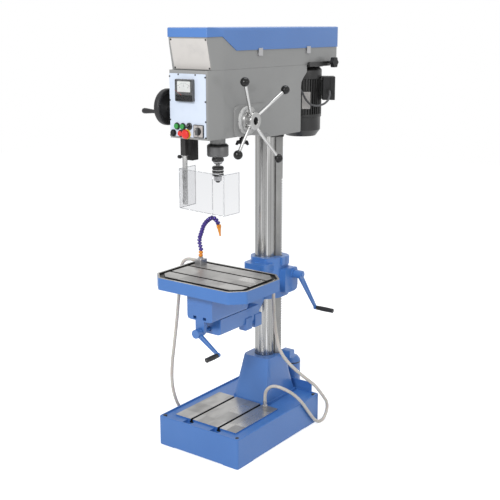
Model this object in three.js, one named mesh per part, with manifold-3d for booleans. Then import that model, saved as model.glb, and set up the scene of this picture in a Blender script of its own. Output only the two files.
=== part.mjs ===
// Pedestal drill press with an elevating cross-slide table, a belt driven head and a coolant circuit.
// Millimetres, +Z up, +X to the machine's right, -Y towards the operator.
// The model is laid out about the centre of the base's underside, and the finished group is then moved so that
// its origin is the centre of the floor area that the rigid machine covers.
import * as THREE from "three";
import { mergeVertices } from "three/addons/utils/BufferGeometryUtils.js";
import Module from "manifold-3d";

// ---------------------------------------------------------------- driving dimensions

const SEAT = 0.3; // gap between two pieces that rest on each other
const RUN = 0.3; // radial gap between a shaft and its bore

const base = {
  halfWidth: 235,
  halfDepth: 341,
  height: 147,
  corner: 12,
  footHeight: 5,
  footInsetX: 87, // length of each corner foot along X
  footInsetY: 119,
  wall: 16,
  bottomWall: 14,
  deck: 35,
  rim: 9,
  gutter: 6,
  anchorInsetX: 20,
  anchorInsetY: 23,
  anchorRadius: 9,
};
const bed = { halfWidth: 180, front: -284, rear: 57, slotX: 81, pocketWidth: 48, pocketFront: -325 };
const baseSlot = { throat: 14, lip: 11, width: 24, depth: 20 };
const pedestal = {
  height: 211,
  flange: 12,
  flangeGrow: 5,
  footHalfWidth: 105,
  topHalfWidth: 78,
  footFront: 66,
  footRear: 330,
  rearFlare: 2,
  topFront: 118,
  topRear: 285,
  corner: 26,
  boreFloor: 14,
  lugWidth: 42,
  lugHeight: 39,
  lugReach: 40,
  lugBehind: 70,
};
const column = { radius: 50, wall: 11, y: 197, exposed: 1103, headGrip: 225 };
const rack = { angle: 33, width: 23, backRadius: 73.6, tipRadius: 82.6, module: 4, topGap: 20, plainTop: 190 };
const rackClip = { wall: 12, finger: 37, height: 14, gapToHead: 3, halfWidth: 20, halfAngle: 55 };

const knee = {
  rise: 302, // from the pedestal's top to the underside of the collar, table at its rest height
  height: 202,
  collarRadius: 68,
  shoulderHeight: 178,
  shoulderFront: 90,
  shoulderLeft: -60,
  shoulderRight: 74,
  webHalf: 42,
  clampX: 100,
  clampFront: 200,
  clampRear: 265,
  clampHeight: 40,
  boxX: 120,
  boxFront: 238,
  boxRear: 307,
  boxLow: 23,
  boxHigh: 145,
  bossRadius: 24,
  bossReach: 8,
};
const arm = {
  drop: 3.3, // arm top below the collar's underside
  height: 82,
  halfWidth: 67,
  front: -244,
  rear: 52,
  corner: 16,
  wayRoot: 37.5,
  wayTop: 49,
  wayHeight: 19.6,
  screwDrop: 55, // cross screw axis below the arm's top
};
const saddle = { halfWidth: 72.5, front: -312, rear: -44, height: 124, corner: 16, bracketHalf: 25, bracketDepth: 20 };
const table = {
  halfWidth: 260,
  front: -363.5,
  rear: 5.7,
  height: 57,
  plate: 34,
  skirt: 13,
  chamfer: 60,
  smallChamfer: 24,
  rim: 10,
  gutterWidth: 24,
  gutterDepth: 9,
  slotOffset: 65.5,
  padGrow: 12,
};
const tableSlot = { throat: 14, lip: 11, width: 23, depth: 20 };
const crossScrew = { radius: 9, rearReach: 250, hubRadius: 21, hubLength: 27 };
const crossCrank = { radius: 141, angle: -34, armThick: 12, rootWidth: 30, tipWidth: 20, gripRadius: 11.5, gripLength: 78 };
const liftCrank = {
  y: 270,
  rise: 112, // crank shaft above the collar's underside
  radius: 213,
  angle: -61.8, // from +Y towards +Z
  hubRadius: 20,
  hubLength: 42,
  offset: 32, // how far the tip stands further out than the hub
  armThick: 12,
  rootWidth: 34,
  tipWidth: 20,
  gripRadius: 11.5,
  gripLength: 96,
  shaftRadius: 10,
  shaftInside: 40,
};
const liftPinion = { teeth: 12, addendum: 2.1, faceWidth: 18, rise: 60, shaftRadius: 9, shaftHalf: 24 };

const head = {
  halfWidth: 117,
  noseHalf: 104,
  noseDepth: 95,
  front: -370,
  rear: 320,
  topRear: 372,
  height: 312,
  frontLift: 23,
  stepFront: 44,
  stepRear: 62,
  tailLow: 235,
  tailHigh: 281,
  wall: 14,
  floor: 16,
  padFront: -205,
  padRear: 32,
  padHeight: 134,
  padProud: 8,
  panelHoleHalf: 84,
};
const quill = {
  y: -170,
  radius: 30,
  bossRadius: 35,
  bossDrop: 37,
  barrelRadius: 44,
  top: 250, // above the head's underside at the column
  collarRadius: 48.5,
  collarHeight: 56,
  collarChamfer: 9,
  collarGap: 2,
  noseRadius: 24,
  noseHeight: 21,
  taperHeight: 14,
  taperRadius: 17,
  stroke: 130,
};
const feed = {
  y: -124,
  rise: 91, // above the head's underside at the column
  shaftRadius: 11,
  teeth: 12,
  module: 3,
  addendum: 1.65,
  faceWidth: 18,
  dialRadius: 62,
  dialDepth: 14,
  ringRadius: 52,
  ringDepth: 12,
  hubRadius: 38,
  hubReach: 60,
  socketRadius: 17,
  socketDepth: 22,
  armRadius: 7,
  armReach: 215,
  armLean: 38,
  armAngle: 35.7,
  knobRadius: 20,
};
const spindle = { radius: 14, neckRadius: 7, neckHeight: 9, splineTop: 116 };
const chuck = { radius: 26.5, height: 43, sleeveRadius: 17.5, sleeveHeight: 25, grooves: 1, jawRadius: 6 };

const housing = {
  wall: 4,
  floor: 5,
  sideHeight: 78,
  frontHeight: 135,
  frontInset: 30,
  shelfDepth: 89,
  slopeDepth: 96,
  rear: 648,
  corner: 18,
};
const lid = { proud: 3, wall: 5, height: 97, edge: 12, hingeRadius: 5, knuckle: 34 };
const latch = { frontY: -15, rearY: 373, width: 30, height: 34, thick: 4, reachUp: 8 };
const drive = {
  motorY: 502,
  sheaveLow: 26, // above the head's top
  sheaveHeight: 42,
  spindleRadius: 92,
  motorRadius: 58,
  beltWidth: 26,
  beltInner: 16,
  beltThick: 10,
  sleeveRadius: 28,
  sleeveDrop: 56,
  motorShaft: 14,
  takeUp: 12,
};
const motor = {
  radius: 100,
  bodyRadius: 92,
  fins: 24,
  finDepth: 8,
  bellHeight: 60,
  bodyHeight: 185,
  coverHeight: 94,
  coverCut: 30,
  coverFlat: 74,
  topGap: 13,
  plateHalf: 104,
};
const tensionBar = { thick: 12, height: 21, front: 371, rear: 533, standoff: 2 };
const lockKnob = { y: 548, radius: 27, depth: 18, stem: 32, stemRadius: 6, lobes: 6 };
const terminal = { angle: 36, back: 102, front: 163, half: 52, height: 112, low: 103, glandAt: 132, glandRise: 45, glandReach: 20 };

const panel = { halfWidth: 99, bottom: 10, top: 275, thick: 2, corner: 5 };
const readout = { x0: -53, x1: 40, low: 160, height: 93, depth: 20, corner: 6, windowSide: 14, windowLow: 30, windowTop: 14 };
const bezel = { height: 4, width: 2.6 };
const button = { stemRadius: 4, stemLength: 12, seat: 3.5 };
const buttons = {
  start_button_left: { x: -59, rise: 53, radius: 12, proud: 9 },
  start_button_right: { x: -26, rise: 53, radius: 12, proud: 9 },
  jog_button: { x: -80, rise: 23, radius: 12, proud: 8 },
  stop_button: { x: -39, rise: 23, radius: 12, proud: 10 },
};
const emergencyStop = { x: -6, rise: 22, radius: 20, stand: 6, capDepth: 15 };
const selector = { x: 9, rise: 56, radius: 12, proud: 11, wing: 4 };
const mainSwitch = { x: 60, rise: 38, plateHalf: 26, plateThick: 5, radius: 15, proud: 18, wing: 5 };

const handwheel = {
  y: -340,
  rise: 151,
  radius: 79,
  plane: -150,
  rimDepth: 24,
  shaftRadius: 9,
  gripAngle: 195,
  gripArm: 64,
  gripRadius: 12,
  gripLength: 80,
};
const wingKnob = { x: 70, y: -82, stemRadius: 7, stemLength: 26, wingSpan: 62, wingHeight: 24, wingThick: 12 };

const guardBox = { x0: -134, x1: -97, front: -229, rear: -186, height: 116 };
const guardPost = { x: -107, y: -270, half: 14, height: 88, rodRadius: 6.5, rodLength: 150 };
const guardTube = { radius: 11, height: 220, bridge: 6 };
const shield = { bottom: 1158, height: 179, thick: 3 };
const thumbScrew = { radius: 4, length: 26, headRadius: 8, drop: 9 };

const coolant = { pumpX: 26, pumpY: 402, pumpRadius: 46, pumpTop: 288, bracketThick: 6, outletZ: 200, outletReach: 70 };
const hose = { radius: 6.5, sides: 8, fittingRadius: 9 };
const spout = { x: 43, rise: 13.7, reach: 18, bend: 40 };
const fitting = { x: 114, y: 41, height: 30, flange: 13 };
const stand = { x: -196, y: -60, halfX: 20, halfY: 24, height: 27, neck: 12 };
const beads = { pitch: 15, radius: 11, waist: 7.5, sides: 6, nozzleLength: 55, nozzleTip: 4 };
const conduitRadius = 5;
const conduitEntry = { x: 78, rise: 196 };

// Levels that follow from the sizes above.
const foot = base.height + pedestal.height;
const kneeZ = foot + knee.rise;
const armTop = kneeZ - arm.drop;
const saddleZ = armTop + SEAT;
const tableZ = saddleZ + saddle.height + SEAT;
const spoutZ = tableZ + spout.rise;
const tableTop = tableZ + table.height;
const headZ = foot + column.exposed;
const headFrontZ = headZ + head.frontLift;
const headTop = headZ + head.height;
const lidZ = headTop + housing.sideHeight;
const screwZ = armTop - arm.screwDrop;
const crankZ = kneeZ + liftCrank.rise;
const feedZ = headZ + feed.rise;
const quillBottom = headFrontZ - quill.bossDrop - quill.collarGap;
const guardTop = headFrontZ - SEAT - guardPost.height;
const motorTop = headTop - motor.topGap;
const plateTop = headTop - SEAT;
const sheaveZ = headTop + drive.sheaveLow;
const conduitHole = { x: conduitEntry.x, z: headZ + conduitEntry.rise };

// ---------------------------------------------------------------- solid helpers

const wasm = await Module();
wasm.setup();

// A closed three.js geometry as a manifold-3d solid, with its faces turned out.
function solid(shape) {
  if (!shape.isBufferGeometry) return shape;
  const bare = new THREE.BufferGeometry().setAttribute("position", shape.getAttribute("position"));
  if (shape.index) bare.setIndex(shape.index);
  const merged = mergeVertices(bare, 1e-4);
  const corners = merged.index.array;
  const kept = [];
  for (let i = 0; i < corners.length; i += 3) {
    const [a, b, c] = [corners[i], corners[i + 1], corners[i + 2]];
    if (a !== b && b !== c && c !== a) kept.push(a, b, c);
  }
  const build = (triangles) =>
    new wasm.Manifold(
      new wasm.Mesh({
        numProp: 3,
        vertProperties: Float32Array.from(merged.attributes.position.array),
        triVerts: Uint32Array.from(triangles),
      }),
    );
  const made = build(kept);
  return made.volume() < 0 ? build(kept.reverse()) : made;
}

const join = (first, ...others) => others.reduce((sum, each) => sum.add(solid(each)), solid(first));
const cut = (first, ...others) => others.reduce((rest, each) => rest.subtract(solid(each)), solid(first));
const common = (first, ...others) => others.reduce((rest, each) => rest.intersect(solid(each)), solid(first));

function geometryOf(shape) {
  const mesh = solid(shape).getMesh();
  const geometry = new THREE.BufferGeometry();
  geometry.setAttribute("position", new THREE.BufferAttribute(Float32Array.from(mesh.vertProperties), 3));
  geometry.setIndex(new THREE.BufferAttribute(Uint32Array.from(mesh.triVerts), 1));
  const flat = geometry.toNonIndexed();
  flat.computeVertexNormals();
  return flat;
}

function block(x0, x1, y0, y1, z0, z1) {
  return new THREE.BoxGeometry(x1 - x0, y1 - y0, z1 - z0).translate((x0 + x1) / 2, (y0 + y1) / 2, (z0 + z1) / 2);
}

// Moves a geometry that was made along +Z from the origin, so that it runs from `from` in direction `along`.
function aim(geometry, from, along) {
  const turn = new THREE.Quaternion().setFromUnitVectors(new THREE.Vector3(0, 0, 1), along.clone().normalize());
  return geometry.applyQuaternion(turn).translate(from.x, from.y, from.z);
}

const point = (x, y, z) => new THREE.Vector3(x, y, z);

function rod(radius, from, to, sides = 12, endRadius = radius) {
  const along = to.clone().sub(from);
  const length = along.length();
  const bar = new THREE.CylinderGeometry(endRadius, radius, length, sides).rotateX(Math.PI / 2);
  return aim(bar.translate(0, 0, length / 2), from, along);
}

// A round cutter whose flats, not its corners, are at the given radius.
function hole(radius, from, to, sides = 12) {
  return rod(radius / Math.cos(Math.PI / sides), from, to, sides);
}

// A profile of [radius, height] pairs, from the axis back to the axis, turned about +Z.
function turned(profile, sides = 16) {
  const points = profile.map(([radius, height]) => new THREE.Vector2(radius, height));
  return new THREE.LatheGeometry(points, sides).rotateX(Math.PI / 2);
}

// An outline of [u, v, cornerRadius] points; a corner with a radius is rounded off.
function outline(points) {
  const shape = new THREE.Shape();
  const count = points.length;
  points.forEach(([u, v, radius = 0], i) => {
    const here = new THREE.Vector2(u, v);
    const [pu, pv] = points[(i + count - 1) % count];
    const [nu, nv] = points[(i + 1) % count];
    const inward = new THREE.Vector2(pu, pv).sub(here);
    const onward = new THREE.Vector2(nu, nv).sub(here);
    const trim = Math.min(radius, inward.length() / 2, onward.length() / 2);
    const start = inward.setLength(trim).add(here);
    const end = onward.setLength(trim).add(here);
    if (i === 0) shape.moveTo(start.x, start.y);
    else shape.lineTo(start.x, start.y);
    if (trim > 0) shape.quadraticCurveTo(u, v, end.x, end.y);
  });
  shape.closePath();
  return shape;
}

const rectangle = (u0, u1, v0, v1, radius = 0) =>
  outline([
    [u0, v0, radius],
    [u1, v0, radius],
    [u1, v1, radius],
    [u0, v1, radius],
  ]);

function extruded(shape, depth, bevel, curveSegments) {
  const options = { depth: depth - 2 * bevel, curveSegments, bevelEnabled: bevel > 0 };
  if (bevel > 0) Object.assign(options, { bevelSize: bevel, bevelOffset: -bevel, bevelThickness: bevel, bevelSegments: 1 });
  return new THREE.ExtrudeGeometry(shape, options).translate(0, 0, bevel);
}

// Outlines pushed along Z, X or Y between two planes; bevel chamfers the end edges.
function prismZ(shape, z0, z1, bevel = 0, curveSegments = 2) {
  return extruded(shape, z1 - z0, bevel, curveSegments).translate(0, 0, z0);
}

function prismX(shape, x0, x1, bevel = 0, curveSegments = 2) {
  const turn = new THREE.Matrix4().makeBasis(point(0, 1, 0), point(0, 0, 1), point(1, 0, 0));
  return extruded(shape, x1 - x0, bevel, curveSegments).applyMatrix4(turn).translate(x0, 0, 0);
}

function prismY(shape, y0, y1, bevel = 0, curveSegments = 2) {
  const turn = new THREE.Matrix4().makeBasis(point(1, 0, 0), point(0, 0, 1), point(0, -1, 0));
  return extruded(shape, y1 - y0, bevel, curveSegments).applyMatrix4(turn).translate(0, y1, 0);
}

// A skin over rings of as many points each, closed with a flat fan at both ends.
function loft(rings) {
  const corners = [];
  const count = rings[0].length;
  const face = (a, b, c) => corners.push(...a.toArray(), ...b.toArray(), ...c.toArray());
  for (let r = 0; r + 1 < rings.length; r++)
    for (let i = 0; i < count; i++) {
      const j = (i + 1) % count;
      face(rings[r][i], rings[r][j], rings[r + 1][j]);
      face(rings[r][i], rings[r + 1][j], rings[r + 1][i]);
    }
  const first = rings[0];
  const last = rings[rings.length - 1];
  for (let i = 1; i + 1 < count; i++) {
    face(first[0], first[i + 1], first[i]);
    face(last[0], last[i], last[i + 1]);
  }
  return new THREE.BufferGeometry().setAttribute("position", new THREE.Float32BufferAttribute(corners, 3));
}

const ringOf = (shape, z, curveSegments = 2) =>
  shape
    .getPoints(curveSegments)
    .filter((each, i, all) => i === 0 || each.distanceTo(all[i - 1]) > 1e-6)
    .filter((each, i, all) => i === 0 || each.distanceTo(all[0]) > 1e-6)
    .map((each) => point(each.x, each.y, z));

function tube(route, radius, steps, sides = hose.sides) {
  const section = new THREE.Shape();
  for (let i = 0; i < sides; i++) {
    const turn = (2 * Math.PI * i) / sides;
    if (i === 0) section.moveTo(radius, 0);
    else section.lineTo(radius * Math.cos(turn), radius * Math.sin(turn));
  }
  section.closePath();
  const path = new THREE.CatmullRomCurve3(route.map(([x, y, z]) => point(x, y, z)));
  return new THREE.ExtrudeGeometry(section, { extrudePath: path, steps, bevelEnabled: false });
}

// T-slot cutter: a throat as wide as the bolt over a wider channel, along X or Y.
function slotAlongY(slot, x, y0, y1, top) {
  return join(
    block(x - slot.throat / 2, x + slot.throat / 2, y0, y1, top - slot.lip - 1, top + 1),
    block(x - slot.width / 2, x + slot.width / 2, y0, y1, top - slot.depth, top - slot.lip),
  );
}

function slotAlongX(slot, y, x0, x1, top) {
  return join(
    block(x0, x1, y - slot.throat / 2, y + slot.throat / 2, top - slot.lip - 1, top + 1),
    block(x0, x1, y - slot.width / 2, y + slot.width / 2, top - slot.depth, top - slot.lip),
  );
}

// ---------------------------------------------------------------- the scene graph

const machine = new THREE.Group();
const cords = ["supply_hose", "supply_hose_top", "drain_hose", "drain_hose_top", "motor_conduit"];

function add(name, shape, color, roughness, metalness = 0) {
  const mesh = new THREE.Mesh(geometryOf(shape), new THREE.MeshStandardMaterial({ color, roughness, metalness }));
  mesh.name = name;
  machine.add(mesh);
  return mesh;
}

const BLUE = 0x4a78b8;
const GREY = 0x8b8a86;
const BLACK = 0x1c1c1e;
const STEEL = 0xb4b6b8;
const DARK_STEEL = 0x6d6e70;
const ORANGE = 0xe08a24;
const HOSE = 0xc4bcae;

// ---------------------------------------------------------------- stand

function baseCasting() {
  const { halfWidth, halfDepth, height } = base;
  const body = prismZ(rectangle(-halfWidth, halfWidth, -halfDepth, halfDepth, base.corner), 0, height, 3);
  const innerX = halfWidth - base.rim;
  const innerY = halfDepth - base.rim;
  const deckZ = height - base.gutter;
  const tray = prismZ(rectangle(-innerX, innerX, -innerY, innerY, base.corner), deckZ, height + 1);
  const island = prismZ(rectangle(-bed.halfWidth, bed.halfWidth, bed.front, bed.rear, 2), deckZ - 1, height);
  const sumpX = halfWidth - base.wall;
  const sumpY = halfDepth - base.wall;
  const sump = block(-sumpX, sumpX, -sumpY, sumpY, base.footHeight + base.bottomWall, height - base.deck);
  const gapX = halfWidth - base.footInsetX;
  const gapY = halfDepth - base.footInsetY;
  const under = [
    block(-gapX, gapX, -halfDepth - 1, halfDepth + 1, -1, base.footHeight),
    block(-halfWidth - 1, halfWidth + 1, -gapY, gapY, -1, base.footHeight),
  ];
  const anchors = [];
  for (const sideX of [-1, 1])
    for (const sideY of [-1, 1]) {
      const x = sideX * (halfWidth - base.anchorInsetX);
      const y = sideY * (halfDepth - base.anchorInsetY);
      anchors.push(rod(base.anchorRadius, point(x, y, -1), point(x, y, height + 1), 10));
    }
  const slots = [-bed.slotX, bed.slotX].map((x) => slotAlongY(baseSlot, x, bed.front - 1, bed.rear + 1, height));
  const pockets = [-bed.slotX, bed.slotX].map((x) =>
    block(x - bed.pocketWidth / 2, x + bed.pocketWidth / 2, bed.pocketFront, bed.front + 1, height - baseSlot.depth, height + 1),
  );
  const returnHole = hole(hose.fittingRadius, point(fitting.x, fitting.y, height - base.deck - 1), point(fitting.x, fitting.y, height), 12);
  const shell = join(cut(body, tray, sump), island);
  return cut(shell, ...under, ...anchors, ...slots, ...pockets, returnHole);
}

function columnPedestal() {
  const foot0 = base.height - base.gutter + SEAT;
  const section = (share) => {
    const half = THREE.MathUtils.lerp(pedestal.footHalfWidth, pedestal.topHalfWidth, share);
    const front = THREE.MathUtils.lerp(pedestal.footFront, pedestal.topFront, share);
    const rear = THREE.MathUtils.lerp(pedestal.footRear, pedestal.topRear, 1 - (1 - share) ** pedestal.rearFlare);
    return ringOf(rectangle(-half, half, front, rear, pedestal.corner), foot0 + share * (foot - foot0));
  };
  const flare = loft([section(0), section(0.2), section(0.5), section(1)]);
  const flangeHalf = pedestal.footHalfWidth + pedestal.flangeGrow;
  const flange = prismZ(
    rectangle(-flangeHalf, flangeHalf, pedestal.footFront + 4, pedestal.footRear - 2, pedestal.corner),
    foot0, foot0 + pedestal.flange,
  );
  const lugX = pedestal.topHalfWidth + pedestal.lugReach;
  const lugY = column.y + pedestal.lugBehind;
  const lug = prismX(
    rectangle(lugY - pedestal.lugWidth / 2, lugY + pedestal.lugWidth / 2, foot - pedestal.lugHeight + 16, foot + 16, 8),
    pedestal.topHalfWidth - 10, lugX,
  );
  const bore = hole(column.radius + RUN, point(0, column.y, base.height + pedestal.boreFloor), point(0, column.y, foot + 30), 16);
  return cut(join(flare, flange, lug), bore);
}

function columnTube() {
  const bottom = base.height + pedestal.boreFloor + SEAT;
  const top = headZ + column.headGrip;
  const outer = rod(column.radius, point(0, column.y, bottom), point(0, column.y, top), 32);
  return cut(outer, rod(column.radius - column.wall, point(0, column.y, bottom - 1), point(0, column.y, top + 1), 12));
}

const rackPitch = Math.PI * rack.module;
const rackTop = headZ - rack.topGap;
const rackBottom = foot + SEAT;
const pinionRadius = (rack.module * liftPinion.teeth) / 2;

// One rack tooth, as [reach, travel] pairs about its middle: its flanks meet the next tooth's at the root.
function toothForm(root, tip, pitch) {
  return [
    [root, -pitch / 2],
    [tip, 0],
  ];
}

function columnRack() {
  const pinionZ = kneeZ + liftPinion.rise;
  const back = column.radius + SEAT;
  const profile = [[back, rackBottom]];
  const first = Math.ceil((rackBottom + rackPitch - pinionZ) / rackPitch);
  const last = Math.floor((rackTop - rack.plainTop - rackPitch - pinionZ) / rackPitch);
  profile.push([rack.backRadius, rackBottom]);
  for (let k = first; k <= last; k++)
    for (const [reach, travel] of toothForm(rack.backRadius, rack.tipRadius, rackPitch))
      profile.push([reach, pinionZ + (k + 0.5) * rackPitch + travel]);
  const lastTooth = pinionZ + (last + 1) * rackPitch;
  profile.push([rack.tipRadius, lastTooth + rackPitch / 2], [rack.tipRadius, rackTop], [back, rackTop]);
  const bar = prismY(outline(profile), -rack.width / 2, rack.width / 2);
  return bar.rotateZ(THREE.MathUtils.degToRad(rack.angle)).translate(0, column.y, 0);
}

// A horseshoe round the column that holds the rack's upper end.
function rackClipPiece() {
  const top = headZ - rackClip.gapToHead;
  const low = top - rackClip.height;
  const radius = column.radius + rackClip.wall;
  const fingerEnd = column.radius + rackClip.finger;
  const hoop = rod(radius, point(0, 0, low), point(0, 0, top), 20);
  const bore = hole(column.radius + RUN, point(0, 0, low - 1), point(0, 0, top + 1), 16);
  const finger = block(0, fingerEnd, -rackClip.halfWidth, rackClip.halfWidth, low, top);
  const reach = 2 * radius;
  const turn = THREE.MathUtils.degToRad(rackClip.halfAngle);
  const sector = prismZ(
    outline([[0, 0], [reach * Math.cos(turn), -reach * Math.sin(turn)], [reach, 0], [reach * Math.cos(turn), reach * Math.sin(turn)]]),
    low - 1, top + 1,
  );
  const clip = cut(join(common(hoop, sector), common(finger, block(column.radius, fingerEnd + 1, -reach, reach, low, top))), bore);
  return clip.rotate([0, 0, rack.angle]).translate([0, column.y, 0]);
}

// ---------------------------------------------------------------- coolant circuit

// A quarter of a bend: five points that run from centre + from to centre + to.
function quarterTurn(centre, from, to) {
  const points = [];
  for (let k = 0; k <= 4; k++) {
    const turn = (Math.PI / 8) * k;
    points.push(centre.map((middle, i) => middle + from[i] * Math.cos(turn) + to[i] * Math.sin(turn)));
  }
  return points;
}

const supplyRoute = [
  [coolant.pumpX - coolant.outletReach - SEAT, coolant.pumpY, coolant.outletZ],
  [-70, coolant.pumpY, coolant.outletZ], [-128, 401, 186], [-190, 388, 140], [-238, 352, 82], [-262, 296, 32],
  [-268, 220, 10.5], [-263, 130, 8], [-258, 40, 9], [-256, -40, 25], [-257, -110, 66], [-261, -165, 128],
  [-267, -192, 200], [-273, -199, 270], [-281, -186, 350], [-290, -158, 440], [-302, -122, 550], [-313, -90, 670],
  [-323, -64, 745], ...quarterTurn([-268, -53, 794], [-58, 0, 0], [0, 0, 58]),
  [-262.5, -53, 852],
];
const supplyTopRoute = [[-262.5 + SEAT, -53, 852], [-241, -53, 852], [stand.x - stand.halfX - SEAT, -53, 852]];
const spoutEnd = table.rear + spout.reach + SEAT;
const drainTopRoute = [
  [spout.x, spoutEnd, spoutZ],
  ...quarterTurn([spout.x + spout.bend, spoutEnd + 6, spoutZ], [-spout.bend, 0, 0], [0, spout.bend, 0]),
  [spout.x + spout.bend + 8, spoutEnd + 6 + spout.bend, spoutZ],
];
const drainRoute = [
  [spout.x + spout.bend + 8 + SEAT, spoutEnd + 6 + spout.bend, spoutZ],
  ...quarterTurn([spout.x + spout.bend + 14, spoutEnd + 6 + spout.bend, spoutZ - 42], [0, 0, 42], [42, 0, 0]),
  [139.5, 70, 715], [140, 71, 680], [141, 73, 640], [143, 75, 590], [148, 77, 540],
  [157, 77, 495], [166, 81, 452], [181, 93, 411], [201, 114, 370], [219, 143, 333], [236, 178, 296], [248, 222, 257],
  [255, 272, 214], [257, 318, 166], [257.5, 356, 123], [257.4, 380, 92],
  ...quarterTurn([256.5, 328, 66], [0, 59, 0], [0, 0, -59]),
  [253, 302, 13], [250.5, 272, 36], [248, 244, 68], [247, 210, 108], [246, 172, 152], [242, 134, 192], [234, 102, 222],
  [220, 76, 244], [200, 59, 258],
  ...quarterTurn([fitting.x + 58, fitting.y + 10.6, 205], [0, 0, 58], [-58, -10.6, 0]),
  [fitting.x, fitting.y, base.height + fitting.height + SEAT],
];

function coolantPump() {
  const { pumpX: x, pumpY: y, pumpRadius: r, pumpTop: top } = coolant;
  const low = base.footHeight + 45;
  const body = turned([
    [0, low], [r * 0.62, low], [r * 0.62, low + 60], [r, low + 70], [r, top - 20], [r * 0.7, top - 3], [0, top],
  ], 14).translate(x, y, 0);
  const bracketZ = base.height - 1;
  const flange = block(x - r - 12, 189, base.halfDepth + SEAT, base.halfDepth + SEAT + coolant.bracketThick, bracketZ - 46, bracketZ + 46);
  const shelf = block(x - r - 12, x + r + 10, base.halfDepth + SEAT, y + 30, bracketZ - 4, bracketZ + 4);
  const outlet = rod(hose.fittingRadius, point(x, y, coolant.outletZ), point(x - coolant.outletReach, y, coolant.outletZ), 10);
  return join(body, flange, shelf, outlet);
}

function drainFitting() {
  const top = base.height + fitting.height;
  const deckZ = base.height + SEAT;
  const low = base.height - base.deck + 10;
  return turned([
    [0, low], [hose.fittingRadius - RUN, low], [hose.fittingRadius - RUN, deckZ], [fitting.flange, deckZ],
    [fitting.flange, deckZ + 9], [hose.fittingRadius, deckZ + 11], [hose.fittingRadius, top], [0, top],
  ], 10).translate(fitting.x, fitting.y, 0);
}

// ---------------------------------------------------------------- knee and table

function kneeCasting() {
  const top = kneeZ + knee.height;
  const shoulderTop = kneeZ + knee.shoulderHeight;
  const collar = prismZ(
    outline([
      [-knee.collarRadius, column.y - 30, 20], [-34, column.y - knee.collarRadius, 14],
      [50, column.y - knee.collarRadius, 14], [knee.collarRadius + 22, column.y - 8, 16],
      [knee.collarRadius + 22, column.y + 84, 20], [20, column.y + 96, 20], [-44, column.y + 62, 24],
      [-knee.collarRadius, column.y + 26, 20],
    ]),
    kneeZ, top,
  );
  const shoulder = prismZ(
    outline([
      [knee.shoulderLeft, knee.shoulderFront + 16, 16], [knee.shoulderLeft + 14, knee.shoulderFront, 12],
      [knee.shoulderRight - 14, knee.shoulderFront, 12], [knee.shoulderRight, knee.shoulderFront + 16, 12],
      [knee.shoulderRight, column.y, 4], [knee.shoulderLeft, column.y, 4],
    ]),
    shoulderTop - 34, shoulderTop,
  );
  const webFront = new THREE.Shape();
  webFront.moveTo(column.y, shoulderTop - 8);
  webFront.lineTo(knee.shoulderFront + 4, shoulderTop - 8);
  webFront.quadraticCurveTo(knee.shoulderFront - 26, kneeZ + 60, 8, armTop - 4);
  webFront.lineTo(8, armTop - arm.height + 8);
  webFront.lineTo(arm.rear, armTop - arm.height);
  webFront.lineTo(column.y - knee.collarRadius + 12, kneeZ + 6);
  webFront.lineTo(column.y, kneeZ + 6);
  webFront.closePath();
  const web = prismX(webFront, -knee.webHalf, knee.webHalf, 0, 4);
  const clamp = prismZ(
    rectangle(20, knee.clampX, knee.clampFront, knee.clampRear, 8), top - knee.clampHeight, top);
  const gearBox = prismX(
    outline([
      [knee.boxFront - 40, kneeZ + knee.boxLow, 18], [knee.boxRear, kneeZ + knee.boxLow, 26],
      [knee.boxRear, kneeZ + knee.boxHigh, 26], [knee.boxFront - 40, kneeZ + knee.boxHigh, 18],
    ]),
    20, knee.boxX,
  );
  const boss = rod(knee.bossRadius, point(knee.boxX - 10, liftCrank.y, crankZ), point(knee.boxX + knee.bossReach, liftCrank.y, crankZ));
  const armBottom = armTop - arm.height;
  const armBody = prismY(
    outline([
      [-arm.halfWidth, armTop], [-arm.halfWidth, armBottom + 4, arm.corner], [arm.halfWidth, armBottom + 4, arm.corner],
      [arm.halfWidth, armTop],
    ]),
    arm.front, arm.rear,
  );
  const wayTop = armTop + arm.wayHeight;
  const way = prismY(
    outline([[-arm.wayRoot, armTop - 2], [arm.wayRoot, armTop - 2], [arm.wayRoot, armTop], [arm.wayTop, wayTop],
      [-arm.wayTop, wayTop], [-arm.wayRoot, armTop]]),
    arm.front, 8,
  );
  const stopBlock = prismY(rectangle(30, 72, armBottom - 22, armTop - 44, 4), -56, -8);
  const rearBlock = prismY(rectangle(34, 71, armBottom - 24, armTop - 42, 4), 18, 70);
  const stud = rod(8, point(56, -12, armBottom + 2), point(56, 22, armBottom + 2), 10);
  const cast = join(collar, shoulder, web, clamp, gearBox, boss, armBody, way, stopBlock, rearBlock, stud);

  const columnBore = hole(column.radius + RUN, point(0, column.y, kneeZ - 2), point(0, column.y, top + 2), 16);
  const rackChannel = block(0, rack.tipRadius + 1.5, -rack.width / 2 - 1.2, rack.width / 2 + 1.2, kneeZ - 2, top + 2)
    .rotateZ(THREE.MathUtils.degToRad(rack.angle))
    .translate(0, column.y, 0);
  const screwBore = rod(crossScrew.radius + 3, point(0, arm.front - 1, screwZ), point(0, arm.rear + 60, screwZ), 10);
  const crankBore = hole(
    liftCrank.shaftRadius + RUN, point(knee.boxX - liftCrank.shaftInside - 1, liftCrank.y, crankZ),
    point(knee.boxX + knee.bossReach + 1, liftCrank.y, crankZ), 10);
  const clampSlit = block(60, knee.clampX + 1, 230, 234, top - knee.clampHeight - 1, top + 1);
  const pinionRoom = pinionPocket();
  return cut(cast, columnBore, rackChannel, screwBore, crankBore, clampSlit, ...pinionRoom);
}

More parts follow.
